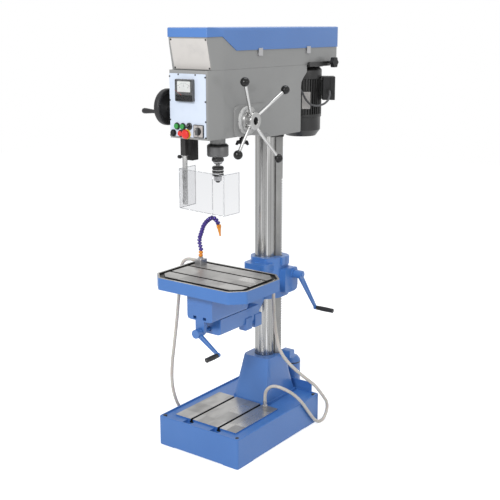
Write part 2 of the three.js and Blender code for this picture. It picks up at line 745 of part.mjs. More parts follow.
const tangent = point(-Math.sin(THREE.MathUtils.degToRad(rack.angle)), Math.cos(THREE.MathUtils.degToRad(rack.angle)), 0);
const outward = point(Math.cos(THREE.MathUtils.degToRad(rack.angle)), Math.sin(THREE.MathUtils.degToRad(rack.angle)), 0);
const rackPitchLine = (rack.backRadius + rack.tipRadius) / 2;
const pinionCentre = outward
  .clone()
  .multiplyScalar(rackPitchLine + pinionRadius)
  .add(point(0, column.y, kneeZ + liftPinion.rise));

function pinionPocket() {
  const roomHalf = liftPinion.faceWidth / 2 + 1;
  const reach = pinionRadius + rack.module;
  const room = block(-reach, reach, -roomHalf, roomHalf, -reach, reach)
    .rotateZ(THREE.MathUtils.degToRad(rack.angle))
    .translate(...pinionCentre.toArray());
  const shaftEnd = liftPinion.shaftHalf + 1;
  return [
    room,
    hole(liftPinion.shaftRadius + RUN, pinionCentre.clone().addScaledVector(tangent, -shaftEnd),
      pinionCentre.clone().addScaledVector(tangent, shaftEnd), 10),
  ];
}

// A spur gear about +Z with its first tooth on +X; addendum is how far the crests pass the pitch circle.
function gear(teeth, module, width, addendum) {
  const pitchRadius = (teeth * module) / 2;
  const tip = pitchRadius + addendum;
  const root = pitchRadius - module * 1.8;
  const step = (2 * Math.PI) / teeth;
  const points = [];
  for (let k = 0; k < teeth; k++)
    for (const [radius, share] of [[root, -0.5], [tip, -0.03], [tip, 0.03]]) {
      const turn = (k + share) * step;
      points.push([radius * Math.cos(turn), radius * Math.sin(turn)]);
    }
  return prismZ(outline(points), -width / 2, width / 2);
}

function liftPinionPiece() {
  const wheel = gear(liftPinion.teeth, rack.module, liftPinion.faceWidth, liftPinion.addendum);
  const basis = new THREE.Matrix4().makeBasis(outward.clone().negate(), point(0, 0, 1), tangent);
  wheel.applyMatrix4(basis).translate(...pinionCentre.toArray());
  const shaft = rod(liftPinion.shaftRadius, pinionCentre.clone().addScaledVector(tangent, -liftPinion.shaftHalf),
    pinionCentre.clone().addScaledVector(tangent, liftPinion.shaftHalf), 10);
  return join(wheel, shaft);
}

// A cast crank arm between two eyes, tapering from root to tip, about an axis through `hub`.
function crankArm(hub, tip, axis, thick, rootWidth, tipWidth) {
  const along = tip.clone().sub(hub);
  const across = along.clone().cross(axis).normalize();
  const eye = (centre, width, share) => {
    const half = axis.clone().multiplyScalar((thick / 2) * share);
    return [
      centre.clone().addScaledVector(across, -width / 2).sub(half), centre.clone().addScaledVector(across, width / 2).sub(half),
      centre.clone().addScaledVector(across, width / 2).add(half), centre.clone().addScaledVector(across, -width / 2).add(half),
    ];
  };
  return loft([eye(hub, rootWidth, 1), eye(tip, tipWidth, 0.8)]);
}

function crank(hub, tip, axis, size, hubFrom, hubTo) {
  const halfTip = axis.clone().multiplyScalar(size.armThick * 0.55);
  const web = crankArm(hub, tip, axis, size.armThick, size.rootWidth * 0.8, size.tipWidth * 0.7);
  const groove = size.armThick * 0.22;
  const inset = 0.22;
  const groovePart = (side) => {
    const shift = axis.clone().multiplyScalar(side * (size.armThick / 2));
    const start = hub.clone().lerp(tip, inset).add(shift);
    const end = hub.clone().lerp(tip, 1 - inset).add(shift);
    return crankArm(start, end, axis, groove * 2, size.rootWidth * 0.34, size.tipWidth * 0.26);
  };
  const eyes = [
    rod(size.hubRadius, hubFrom, hubTo, 14),
    rod(size.tipWidth / 2, tip.clone().sub(halfTip), tip.clone().add(halfTip), 10),
  ];
  return cut(join(cut(web, groovePart(1), groovePart(-1)), ...eyes));
}

const crossHub = point(0, saddle.front - 15, screwZ);
const crossTip = crossHub.clone().add(
  point(
    crossCrank.radius * Math.cos(THREE.MathUtils.degToRad(crossCrank.angle)), 0,
    crossCrank.radius * Math.sin(THREE.MathUtils.degToRad(crossCrank.angle)),
  ),
);

function crossCrankPiece() {
  const hubFront = point(0, saddle.front - 6 - crossScrew.hubLength, screwZ);
  const hubRear = point(0, saddle.front - 2, screwZ);
  const size = { ...crossCrank, hubRadius: crossScrew.hubRadius };
  const handle = crank(crossHub, crossTip, point(0, -1, 0), size, hubRear, hubFront);
  const screw = rod(crossScrew.radius, hubRear.clone().add(point(0, -4, 0)), hubRear.clone().add(point(0, crossScrew.rearReach, 0)), 10);
  const collar = rod(crossScrew.radius + 6, point(0, saddle.front - 2, screwZ), point(0, saddle.front - 2 - SEAT - 1, screwZ), 12);
  return join(handle, screw, collar);
}

// A turned crank grip that starts just clear of the crank's eye.
function grip(eyeFace, axis, radius, length) {
  const profile = [
    [0, 0], [radius * 0.8, 0], [radius * 0.86, length * 0.3], [radius, length * 0.72], [radius * 0.7, length], [0, length],
  ];
  return aim(turned(profile, 10), eyeFace, axis);
}

const liftHub = point(knee.boxX + knee.bossReach + 1 + liftCrank.hubLength * 0.62, liftCrank.y, crankZ);
const liftTurn = THREE.MathUtils.degToRad(liftCrank.angle);
const liftTip = liftHub.clone().add(
  point(liftCrank.offset, liftCrank.radius * Math.cos(liftTurn), liftCrank.radius * Math.sin(liftTurn)),
);

function liftCrankPiece() {
  const face = knee.boxX + knee.bossReach + 1;
  const handle = crank(liftHub, liftTip, point(1, 0, 0), liftCrank, point(face, liftCrank.y, crankZ),
    point(face + liftCrank.hubLength, liftCrank.y, crankZ));
  const shaft = rod(liftCrank.shaftRadius, point(knee.boxX - liftCrank.shaftInside, liftCrank.y, crankZ),
    point(face + liftCrank.hubLength + 4, liftCrank.y, crankZ), 10);
  return join(handle, shaft);
}

function saddlePiece() {
  const top = saddleZ + saddle.height;
  const body = prismY(
    outline([
      [-saddle.halfWidth, saddleZ, saddle.corner], [saddle.halfWidth, saddleZ, saddle.corner],
      [saddle.halfWidth, top], [-saddle.halfWidth, top],
    ]),
    saddle.front, saddle.rear,
  );
  const bracket = prismY(
    outline([
      [-saddle.bracketHalf, saddleZ + 10], [-saddle.bracketHalf, screwZ - 2, 20], [0, screwZ - 26, 24],
      [saddle.bracketHalf, screwZ - 2, 20], [saddle.bracketHalf, saddleZ + 10],
    ]),
    saddle.front, saddle.front + saddle.bracketDepth,
  );
  const way = prismY(
    outline([
      [-arm.wayRoot - SEAT, saddleZ - 1], [arm.wayRoot + SEAT, saddleZ - 1], [arm.wayRoot + SEAT, saddleZ],
      [arm.wayTop + SEAT * 2, saddleZ + arm.wayHeight], [-arm.wayTop - SEAT * 2, saddleZ + arm.wayHeight],
      [-arm.wayRoot - SEAT, saddleZ],
    ]),
    saddle.front + saddle.bracketDepth, saddle.rear + 1,
  );
  const mouth = block(-arm.wayRoot, arm.wayRoot, saddle.front - 1, saddle.front + saddle.bracketDepth + 1, saddleZ + 6, saddleZ + arm.wayHeight);
  const screwBore = hole(crossScrew.radius + RUN, point(0, saddle.front - 1, screwZ), point(0, saddle.front + saddle.bracketDepth + 1, screwZ), 16);
  return cut(join(body, bracket), way, cut(mouth, block(-saddle.bracketHalf + 6, saddle.bracketHalf - 6, saddle.front - 2, saddle.rear, saddleZ, saddleZ + arm.wayHeight)), screwBore);
}

function tableOutline(inset, round = 0) {
  const x = table.halfWidth - inset;
  const front = table.front + inset;
  const rear = table.rear - inset;
  const corner = table.chamfer - inset * 0.59;
  const small = Math.max(table.smallChamfer - inset * 0.59, 2);
  return outline([
    [-x + corner, front, round], [x - corner, front, round], [x, front + corner, round], [x, rear - corner, round],
    [x - corner, rear, round], [-x + small, rear, round], [-x, rear - small, round], [-x, front + corner, round],
  ]);
}

function workTable() {
  const body = prismZ(tableOutline(0, 8), tableZ, tableTop);
  const gutterFloor = tableTop - table.gutterDepth;
  const gutter = cut(
    prismZ(tableOutline(table.rim), gutterFloor, tableTop + 1),
    prismZ(tableOutline(table.rim + table.gutterWidth), gutterFloor - 1, tableTop + 2),
  );
  const hollow = prismZ(tableOutline(table.skirt), tableZ - 1, tableTop - table.plate);
  const padX = saddle.halfWidth + table.padGrow;
  const pad = block(-padX, padX, saddle.front - table.padGrow, saddle.rear + table.padGrow, tableZ, tableTop - table.plate + 1);
  const middle = (table.front + table.rear) / 2;
  const slots = [-1, 1].map((side) =>
    slotAlongX(tableSlot, middle + side * table.slotOffset, -table.halfWidth + table.rim + 8, table.halfWidth - table.rim - 8, tableTop),
  );
  const outlet = rod(hose.fittingRadius, point(spout.x, table.rear - table.skirt - 1, spoutZ),
    point(spout.x, table.rear + spout.reach, spoutZ), 10);
  return cut(join(cut(body, hollow), pad, outlet), gutter, ...slots);
}

// ---------------------------------------------------------------- head

function headCasting() {
  const side = prismX(
    outline([
      [head.front, headFrontZ, 4], [head.stepFront, headFrontZ, 6], [head.stepRear, headZ, 6], [head.rear, headZ, 6],
      [head.rear, headZ + head.tailLow, 20], [head.topRear, headZ + head.tailHigh, 6], [head.topRear, headTop],
      [head.front, headTop],
    ]),
    -head.halfWidth - 1, head.halfWidth + 1,
  );
  const plan = prismZ(
    outline([
      [-head.noseHalf, head.front, 8], [head.noseHalf, head.front, 8], [head.halfWidth, head.front + head.noseDepth, 10],
      [head.halfWidth, head.topRear, 6], [-head.halfWidth, head.topRear, 6], [-head.halfWidth, head.front + head.noseDepth, 10],
    ]),
    headZ - 10, headTop,
  );
  const boss = rod(quill.bossRadius, point(0, quill.y, headFrontZ - quill.bossDrop), point(0, quill.y, headFrontZ + 4), 20);
  const pad = prismX(rectangle(head.padFront, head.padRear, headFrontZ, headFrontZ + head.padHeight, 26), head.halfWidth - 2,
    head.halfWidth + head.padProud);
  const outer = join(common(side, plan), boss, pad);

  const w = head.wall;
  const room = prismX(
    outline([
      [head.front + w, headFrontZ + head.floor], [head.rear - w, headFrontZ + head.floor],
      [head.rear - w, headZ + head.tailLow + 10], [head.topRear - w, headZ + head.tailHigh + 4],
      [head.topRear - w, headTop + 1], [head.front + w, headTop + 1],
    ]),
    -head.noseHalf + w, head.noseHalf - w,
  );
  const quillBarrel = rod(quill.barrelRadius, point(0, quill.y, headFrontZ - 5), point(0, quill.y, headTop - 2), 10);
  const columnBarrel = rod(column.radius + 16, point(0, column.y, headZ + 2), point(0, column.y, headTop - 20), 10);
  const spine = block(-w / 2, w / 2, quill.y, column.y, headFrontZ, headTop - 30);
  const feedBarrel = rod(feed.shaftRadius + 13, point(0, feed.y, feedZ), point(head.halfWidth - 4, feed.y, feedZ), 10);
  const hollow = cut(room, quillBarrel, columnBarrel, spine, feedBarrel);

  const quillBore = hole(quill.radius + RUN, point(0, quill.y, headFrontZ - quill.bossDrop - 1), point(0, quill.y, headTop + 1), 16);
  const columnBore = hole(column.radius + RUN, point(0, column.y, headZ - 1), point(0, column.y, headZ + column.headGrip + SEAT), 16);
  const pinionTip = (feed.teeth * feed.module) / 2 + feed.module + 1;
  const pinionHalf = feed.faceWidth / 2 + 1;
  const feedBore = [
    hole(feed.shaftRadius + RUN, point(-20, feed.y, feedZ), point(head.halfWidth + head.padProud + 1, feed.y, feedZ), 12),
    rod(pinionTip, point(-pinionHalf, feed.y, feedZ), point(pinionHalf, feed.y, feedZ), 12),
  ];
  const panelHole = block(-head.panelHoleHalf, head.panelHoleHalf, head.front - 1, head.front + w + 1,
    headFrontZ + panel.bottom + 8, headFrontZ + panel.top - 8);
  const wheelX = -head.noseHalf - (head.halfWidth - head.noseHalf);
  const wheelBore = hole(handwheel.shaftRadius + RUN, point(wheelX - 2, handwheel.y, headZ + handwheel.rise),
    point(-head.noseHalf + w + 2, handwheel.y, headZ + handwheel.rise), 16);
  const wingBore = hole(wingKnob.stemRadius + RUN, point(wingKnob.x, wingKnob.y, headFrontZ - 1),
    point(wingKnob.x, wingKnob.y, headFrontZ + head.floor + 1), 12);
  const conduitBore = hole(conduitRadius + RUN, point(conduitHole.x, head.rear + 1, conduitHole.z),
    point(conduitHole.x, head.rear - w - 1, conduitHole.z));
  return cut(outer, hollow, quillBore, columnBore, ...feedBore, panelHole, wheelBore, wingBore, conduitBore);
}

const pinionPitchRadius = (feed.teeth * feed.module) / 2;
const quillPitchY = feed.y - pinionPitchRadius;

function quillPiece() {
  const collarTop = quillBottom;
  const collarLow = collarTop - quill.collarHeight;
  const noseLow = collarLow - quill.noseHeight;
  const tipLow = noseLow - quill.taperHeight;
  const top = headZ + quill.top;
  const body = turned([
    [0, tipLow], [quill.taperRadius, tipLow], [quill.noseRadius, noseLow], [quill.noseRadius, collarLow],
    [quill.collarRadius - 4, collarLow], [quill.collarRadius, collarLow + 5],
    [quill.collarRadius, collarTop - quill.collarChamfer], [quill.collarRadius - quill.collarChamfer, collarTop],
    [quill.radius, collarTop], [quill.radius, top], [0, top],
  ], 20).translate(0, quill.y, 0);
  const bore = hole(spindle.radius + RUN, point(0, quill.y, tipLow - 1), point(0, quill.y, top + 1), 16);
  const pitch = Math.PI * feed.module;
  const root = quillPitchY - feed.module * 1.25;
  const tip = quillPitchY + feed.module * 0.9;
  const low = feedZ - 1.8 * pitch;
  const high = Math.min(feedZ + quill.stroke + 1.8 * pitch, top - 4);
  const profile = [[root, low]];
  for (let k = Math.ceil((low - feedZ) / pitch); (k + 1) * pitch + feedZ < high; k++)
    for (const [reach, travel] of toothForm(root, tip, pitch)) profile.push([reach, feedZ + (k + 0.5) * pitch + travel]);
  profile.push([root, high]);
  const slot = block(-feed.faceWidth / 2 - 1.5, feed.faceWidth / 2 + 1.5, root, quill.y + quill.radius + 2, low, high);
  profile.push([root - 3, high], [root - 3, low]);
  const teeth = prismX(outline(profile), -feed.faceWidth / 2 - 2, feed.faceWidth / 2 + 2);
  return cut(join(cut(body, slot), common(teeth, body)), bore);
}

function feedSpider() {
  const inner = head.halfWidth + head.padProud + feed.dialDepth + 2 * SEAT;
  const outer = head.halfWidth + feed.hubReach;
  const hub = aim(turned([
    [0, 0], [feed.ringRadius, 0], [feed.ringRadius, feed.ringDepth], [feed.hubRadius, feed.ringDepth + 1],
    [feed.hubRadius, outer - inner], [0, outer - inner],
  ], 20), point(inner, feed.y, feedZ), point(1, 0, 0));
  const socket = rod(feed.socketRadius, point(outer - feed.socketDepth, feed.y, feedZ), point(outer + 1, feed.y, feedZ), 14);
  const shaft = rod(feed.shaftRadius, point(-18, feed.y, feedZ), point(inner + 2, feed.y, feedZ), 10);
  const pinion = gear(feed.teeth, feed.module, feed.faceWidth, feed.addendum);
  pinion.applyMatrix4(new THREE.Matrix4().makeBasis(point(0, -1, 0), point(0, 0, -1), point(1, 0, 0)));
  pinion.translate(0, feed.y, feedZ);
  const arms = feedArms().map(({ root, tip }) => rod(feed.armRadius, root, tip, 8));
  return cut(join(hub, shaft, pinion, ...arms), socket);
}

// Where each feed lever leaves the hub and where its ball is.
function feedArms() {
  const rootX = head.halfWidth + feed.hubReach - 16;
  return [0, 1, 2, 3].map((k) => {
    const turn = THREE.MathUtils.degToRad(feed.armAngle + 90 * k);
    const reach = (radius, x) => point(x, feed.y + radius * Math.cos(turn), feedZ + radius * Math.sin(turn));
    const rootRadius = feed.hubRadius - 8;
    return { root: reach(rootRadius, rootX), tip: reach(feed.armReach, rootX + feed.armLean + 11) };
  });
}

function feedDial() {
  const face = head.halfWidth + head.padProud + SEAT;
  const ring = aim(turned([
    [feed.shaftRadius + 1, 0], [feed.dialRadius, 0], [feed.dialRadius, feed.dialDepth],
    [feed.shaftRadius + 1, feed.dialDepth], [feed.shaftRadius + 1, 0],
  ], 24), point(face, feed.y, feedZ), point(1, 0, 0));
  return ring;
}

function ballKnob({ root, tip }) {
  const along = tip.clone().sub(root).normalize();
  const ball = new THREE.SphereGeometry(feed.knobRadius, 10, 8).translate(...tip.toArray());
  const bore = hole(feed.armRadius + SEAT, tip.clone().addScaledVector(along, -feed.knobRadius - 5), tip.clone().addScaledVector(along, SEAT), 8);
  return cut(ball, bore);
}

function spindlePiece() {
  const collarLow = quillBottom - quill.collarHeight;
  const tipLow = collarLow - quill.noseHeight - quill.taperHeight;
  const chuckTop = tipLow - spindle.neckHeight;
  const top = headTop + spindle.splineTop;
  return turned([
    [0, chuckTop - chuck.height * 0.5], [spindle.neckRadius, chuckTop - chuck.height * 0.5], [spindle.neckRadius, tipLow - 3],
    [spindle.radius, tipLow], [spindle.radius, top - 2], [spindle.radius - 2, top], [0, top],
  ], 16).translate(0, quill.y, 0);
}

const chuckTop = quillBottom - quill.collarHeight - quill.noseHeight - quill.taperHeight - spindle.neckHeight;

function drillChuck() {
  const low = chuckTop - chuck.height;
  const band = chuck.height / (2 * chuck.grooves + 1);
  const profile = [[spindle.neckRadius + SEAT, chuckTop]];
  for (let k = 0; k <= chuck.grooves; k++) {
    const z = chuckTop - 2 * k * band;
    profile.push([chuck.radius, z], [chuck.radius, z - band]);
    if (k < chuck.grooves) profile.push([chuck.radius - 2.5, z - band], [chuck.radius - 2.5, z - 2 * band]);
  }
  const neck = chuck.sleeveRadius - 5;
  profile.push(
    [neck, low], [neck, low - chuck.sleeveHeight + 4], [chuck.jawRadius + 4, low - chuck.sleeveHeight - 2],
    [3, low - chuck.sleeveHeight - 8], [0, low - chuck.sleeveHeight - 8], [0, chuckTop - chuck.height * 0.5 - SEAT],
    [spindle.neckRadius + SEAT, chuckTop - chuck.height * 0.5 - SEAT], [spindle.neckRadius + SEAT, chuckTop]);
  return turned(profile.reverse(), 14).translate(0, quill.y, 0);
}

function chuckSleeve() {
  const top = chuckTop - chuck.height - SEAT;
  const low = top - chuck.sleeveHeight + 2;
  const inner = chuck.sleeveRadius - 5 + RUN;
  return turned([
    [inner, low], [chuck.sleeveRadius - 2, low], [chuck.sleeveRadius, low + 3], [chuck.sleeveRadius, top], [inner, top],
    [inner, low],
  ], 16).translate(0, quill.y, 0);
}

// ---------------------------------------------------------------- belt drive

const frontLow = head.front + housing.frontInset;

function housingSide(grow, low, high) {
  const shelf = head.front + housing.shelfDepth;
  const slope = shelf + housing.slopeDepth;
  return outline([
    [frontLow + grow, headTop + low], [housing.rear - grow, headTop + low], [housing.rear - grow, lidZ + high],
    [slope, lidZ + high], [shelf, headTop + housing.frontHeight + 2 + high], [head.front + grow, headTop + housing.frontHeight + high],
  ]);
}

function housingPlan(grow) {
  const x = head.halfWidth - grow;
  const nose = head.noseHalf - grow;
  return outline([
    [-nose, head.front + grow, 6], [nose, head.front + grow, 6], [x, head.front + head.noseDepth, 8],
    [x, housing.rear - grow, housing.corner], [-x, housing.rear - grow, housing.corner], [-x, head.front + head.noseDepth, 8],
  ]);
}

function beltHousing() {
  const outerX = head.halfWidth + 1;
  const low = headTop + SEAT;
  const outer = common(
    prismX(housingSide(0, SEAT, 0), -outerX, outerX),
    prismZ(housingPlan(0), low - 1, headTop + housing.frontHeight + 5),
  );
  const inner = common(
    prismX(housingSide(housing.wall, housing.floor, 20), -outerX, outerX),
    prismZ(housingPlan(housing.wall), low, headTop + housing.frontHeight + 30),
  );
  const spindleHole = rod(drive.sleeveRadius + 8, point(0, quill.y, headTop - 1), point(0, quill.y, headTop + housing.floor + 1), 16);
  const motorHole = prismZ(
    rectangle(-motor.radius * 0.3, motor.radius * 0.3, drive.motorY - drive.takeUp - 26, drive.motorY + 26, 20),
    headTop - 1, headTop + housing.floor + 1,
  );
  const knuckles = hingeKnuckles(1).map((each) => solid(each));
  return cut(join(cut(outer, inner), ...knuckles), spindleHole, motorHole);
}

// Hinge barrels on the left side; part 1 belongs to the housing and part 2 to the lid.
const hingeX = -head.halfWidth - lid.proud - lid.hingeRadius;
const hingeZ = lidZ - lid.hingeRadius - 1;

function hingeKnuckles(part) {
  const places = [];
  for (const y of [-60, 430]) {
    const start = part === 1 ? y : y + lid.knuckle + SEAT;
    const barrel = rod(lid.hingeRadius, point(hingeX, start, hingeZ), point(hingeX, start + lid.knuckle, hingeZ), 12);
    const leaf =
      part === 1
        ? block(hingeX, -head.halfWidth + 1, start, start + lid.knuckle, hingeZ - 3, hingeZ)
        : block(hingeX - lid.hingeRadius, hingeX + 1, start, start + lid.knuckle, hingeZ, lidZ + 6);
    const bridge = part === 2 ? [block(hingeX - lid.hingeRadius, -head.halfWidth - 1, start, start + lid.knuckle, lidZ + 2, lidZ + 6)] : [];
    places.push(join(barrel, leaf, ...bridge));
  }
  return places;
}

function lidSide(grow, low) {
  const shelf = head.front + housing.shelfDepth;
  const slope = shelf + housing.slopeDepth;
  const front = head.front - lid.proud + grow;
  const rear = housing.rear + lid.proud - grow;
  const top = lidZ + lid.height - grow;
  return outline([
    [front, headTop + housing.frontHeight + SEAT + low], [shelf, headTop + housing.frontHeight + 2 + SEAT + low],
    [slope, lidZ + SEAT + low], [rear, lidZ + SEAT + low], [rear, top, grow ? 6 : 12], [front, top, grow ? 6 : 12],
  ]);
}

function lidEnd(grow) {
  const x = head.halfWidth + lid.proud - grow;
  const top = lidZ + lid.height - grow;
  return outline([[-x, lidZ - 30], [x, lidZ - 30], [x, top, lid.edge], [-x, top, lid.edge]]);
}

function lidPlan(grow) {
  const x = head.halfWidth + lid.proud - grow;
  const nose = head.noseHalf + lid.proud - grow;
  const front = head.front - lid.proud + grow;
  const rear = housing.rear + lid.proud - grow;
  return outline([
    [-nose, front, 6], [nose, front, 6], [x, front + head.noseDepth, 8], [x, rear, housing.corner], [-x, rear, housing.corner],
    [-x, front + head.noseDepth, 8],
  ]);
}

function beltLid() {
  const farX = head.halfWidth + 40;
  const body = (grow, low) =>
    common(
      prismX(lidSide(grow, low), -farX, farX),
      prismY(lidEnd(grow), head.front - 20, housing.rear + 20),
      prismZ(lidPlan(grow), lidZ - 20, lidZ + lid.height + 10),
    );
  return join(cut(body(0, 0), body(lid.wall, -4)), ...hingeKnuckles(2));
}

function latchPiece(y) {
  const x = head.halfWidth + SEAT;
  const step = head.halfWidth + lid.proud + SEAT;
  const low = lidZ + latch.reachUp - latch.height;
  const profile = outline([
    [x, low, 2], [x + latch.thick + lid.proud, low, 3], [step + latch.thick, lidZ + latch.reachUp, 2],
    [step, lidZ + latch.reachUp], [step, lidZ - 8], [x, lidZ - 14],
  ]);
  return prismY(profile, y - latch.width / 2, y + latch.width / 2);
}

// A V-belt pulley about +Z: two flanges with a groove between them.
function sheave(radius, shaftRadius, hubRadius, low, height, hubLow, sides = 16) {
  const boreRadius = shaftRadius / Math.cos(Math.PI / sides);
  const wide = drive.beltWidth / 2 + 2.2;
  const narrow = drive.beltInner / 2 + 0.6;
  const middle = low + height / 2;
  const grooveRadius = radius - 20;
  return turned([
    [boreRadius, hubLow], [hubRadius, hubLow], [hubRadius, low], [radius, low], [radius, middle - wide],
    [grooveRadius, middle - narrow], [grooveRadius, middle + narrow], [radius, middle + wide], [radius, low + height],
    [boreRadius, low + height], [boreRadius, hubLow],
  ], sides);
}

function spindlePulley() {
  const low = headTop - drive.sleeveDrop;
  return sheave(drive.spindleRadius, spindle.radius + RUN, drive.sleeveRadius, sheaveZ, drive.sheaveHeight, low).translate(0, quill.y, 0);
}

function motorPulley() {
  const wheel = sheave(drive.motorRadius, drive.motorShaft + RUN, drive.motorShaft + 7, sheaveZ, drive.sheaveHeight, sheaveZ - 8);
  return wheel.translate(0, drive.motorY, 0);
}

function driveBelt() {
  const middle = sheaveZ + drive.sheaveHeight / 2;
  const large = drive.spindleRadius - 4;
  const small = drive.motorRadius - 4;
  const centre = drive.motorY - quill.y;
  const lean = Math.asin((large - small) / centre);
  const path = [];
  const normals = [];
  const arc = (y, radius, from, to, count) => {
    for (let i = 0; i <= count; i++) {
      const turn = THREE.MathUtils.lerp(from, to, i / count);
      normals.push(point(Math.cos(turn), Math.sin(turn), 0));
      path.push(point(radius * Math.cos(turn), y + radius * Math.sin(turn), middle));
    }
  };
  arc(quill.y, large, Math.PI - lean, 2 * Math.PI + lean, 16);
  arc(drive.motorY, small, lean, Math.PI - lean, 10);
  const corners = [];
  const count = path.length;
  const section = (i) => {
    const at = (out, up) => path[i].clone().addScaledVector(normals[i], out).add(point(0, 0, up));
    return [
      at(0, -drive.beltWidth / 2), at(0, drive.beltWidth / 2),
      at(-drive.beltThick, drive.beltInner / 2), at(-drive.beltThick, -drive.beltInner / 2),
    ];
  };
  for (let i = 0; i < count; i++) {
    const here = section(i);
    const next = section((i + 1) % count);
    for (let k = 0; k < 4; k++) {
      const m = (k + 1) % 4;
      corners.push(...here[k].toArray(), ...next[k].toArray(), ...next[m].toArray());
      corners.push(...here[k].toArray(), ...next[m].toArray(), ...here[m].toArray());
    }
  }
  return new THREE.BufferGeometry().setAttribute("position", new THREE.Float32BufferAttribute(corners, 3));
}

// ---------------------------------------------------------------- motor

function motorPlate() {
  const low = motorTop + SEAT;
  const plate = prismZ(
    rectangle(-motor.plateHalf, motor.plateHalf, drive.motorY - motor.plateHalf, drive.motorY + motor.plateHalf, 10), low, plateTop);
  const barX = head.halfWidth + tensionBar.standoff;
  const barTop = headTop + 11;
  const bar = prismX(rectangle(tensionBar.front, tensionBar.rear, barTop - tensionBar.height, barTop, 5), barX, barX + tensionBar.thick);
  const tab = block(motor.plateHalf - 4, barX + 4, 430, 500, low, plateTop);
  const shaftHole = rod(motor.radius * 0.34, point(0, drive.motorY, low - 1), point(0, drive.motorY, plateTop + 1), 12);
  return cut(join(plate, bar, tab), shaftHole);
}

function motorBody() {
  const bellLow = motorTop - motor.bellHeight;
  const low = bellLow - motor.bodyHeight;
  const shape = new THREE.Shape();
  const step = (2 * Math.PI) / motor.fins;
  for (let k = 0; k < motor.fins; k++)
    for (const [radius, share] of [[motor.bodyRadius - motor.finDepth, -0.5], [motor.bodyRadius, -0.2],
      [motor.bodyRadius, 0.1], [motor.bodyRadius - motor.finDepth, 0.2]]) {
      const turn = (k + share) * step;
      const [x, y] = [radius * Math.cos(turn), radius * Math.sin(turn)];
      if (k === 0 && share === -0.5) shape.moveTo(x, y);
      else shape.lineTo(x, y);
    }
  shape.closePath();
  const finned = prismZ(shape, low, bellLow + 4).translate(0, drive.motorY, 0);
  const bell = turned([
    [0, bellLow], [motor.radius - 6, bellLow], [motor.radius, bellLow + 6], [motor.radius, motorTop],
    [drive.motorShaft, motorTop], [drive.motorShaft, sheaveZ + drive.sheaveHeight + 2],
    [0, sheaveZ + drive.sheaveHeight + 2],
  ], 24).translate(0, drive.motorY, 0);
  const spigot = rod(motor.bodyRadius - 14, point(0, drive.motorY, low - 8), point(0, drive.motorY, low + 2), 16);
  return join(finned, bell, spigot);
}

function fanCover() {
  const top = motorTop - motor.bellHeight - motor.bodyHeight - SEAT;
  const low = top - motor.coverHeight;
  const wall = 3;
  const outer = [
    [0, low], [motor.coverFlat, low], [motor.bodyRadius + 4, low + motor.coverCut], [motor.bodyRadius + 4, top],
  ];
  const innerRadius = motor.bodyRadius + 4 - wall;
  const inner = [[innerRadius, top], [innerRadius, low + motor.coverCut + 1], [motor.coverFlat - 2, low + wall], [0, low + wall]];
  const shell = turned([...outer, ...inner], 20).translate(0, drive.motorY, 0);
  const slots = [];
  for (let k = 0; k < 6; k++) {
    const slot = block(18, 52, -7, 7, low - 1, low + wall + 1);
    slots.push(slot.rotateZ((Math.PI / 3) * k).translate(0, drive.motorY, 0));
  }
  return cut(shell, ...slots);
}

function terminalBox() {
  const low = motorTop - motor.bellHeight - terminal.low;
  const { back, front, half, height } = terminal;
  const body = prismZ(rectangle(back, front, -half, half, 8), low, low + height);
  const lidJoint = cut(
    block(front - 26, front - 23, -half - 1, half + 1, low - 1, low + height + 1),
    block(back, front, -half + 2, half - 2, low + 2, low + height - 2),
  );
  const neck = block(motor.bodyRadius + SEAT, back + 2, -30, 30, low + 18, low + height - 18);
  const glandZ = low + terminal.glandRise;
  const gland = rod(10, point(terminal.glandAt, 2 - half, glandZ), point(terminal.glandAt, -half - terminal.glandReach, glandZ), 10);
  return cut(join(body, neck, gland), lidJoint).rotate([0, 0, terminal.angle]).translate([0, drive.motorY, 0]);
}

// Where the conduit leaves the gland, and which way it points there.
const glandTurn = THREE.MathUtils.degToRad(terminal.angle);
const glandOut = point(0, -1, 0).applyAxisAngle(point(0, 0, 1), glandTurn);
const glandZ = motorTop - motor.bellHeight - terminal.low + terminal.glandRise;
const glandTip = point(terminal.glandAt, -terminal.half - terminal.glandReach - SEAT, glandZ)
  .applyAxisAngle(point(0, 0, 1), glandTurn)
  .add(point(0, drive.motorY, 0));
const glandSide = point(-glandOut.y, glandOut.x, 0);
const fromGland = ([out, side, up]) =>
  glandTip.clone().addScaledVector(glandOut, out).addScaledVector(glandSide, side).add(point(0, 0, up)).toArray();
const conduitLoop = [
  [0, 0, 0], [12, 0, 0], [30, 0, -4], [45, -1, -18], [51, -8, -38], [52, -26, -56], [52, -54, -65],
].map(fromGland);
const conduitRoute = [
  ...conduitLoop, [122, 438, 1576], [103, 425, 1583], [90, 411, 1601], [84, 400, 1619], [81, 391, 1636], [79, 381, 1648],
  [conduitHole.x, head.rear + 49, conduitHole.z - 2], [conduitHole.x, head.rear + 34, conduitHole.z],
  [conduitHole.x, head.rear + 16, conduitHole.z], [conduitHole.x, head.rear - 6, conduitHole.z],
];

function lockKnobPiece() {
  const start = head.halfWidth + SEAT;
  const z = headTop + 6;
  const stem = rod(lockKnob.stemRadius, point(start, lockKnob.y, z), point(start + lockKnob.stem, lockKnob.y, z), 12);
  const star = new THREE.Shape();
  for (let i = 0; i <= 30; i++) {
    const turn = (2 * Math.PI * i) / 30;
    const radius = lockKnob.radius * (0.9 + 0.1 * Math.cos(lockKnob.lobes * turn));
    if (i === 0) star.moveTo(radius, 0);
    else if (i < 30) star.lineTo(radius * Math.cos(turn), radius * Math.sin(turn));
  }
  star.closePath();
  const handle = prismX(star, start + lockKnob.stem - 2, start + lockKnob.stem + lockKnob.depth);
  return join(stem, handle.translate(0, lockKnob.y, z));
}

// ---------------------------------------------------------------- control panel

const panelFace = head.front - SEAT - panel.thick;

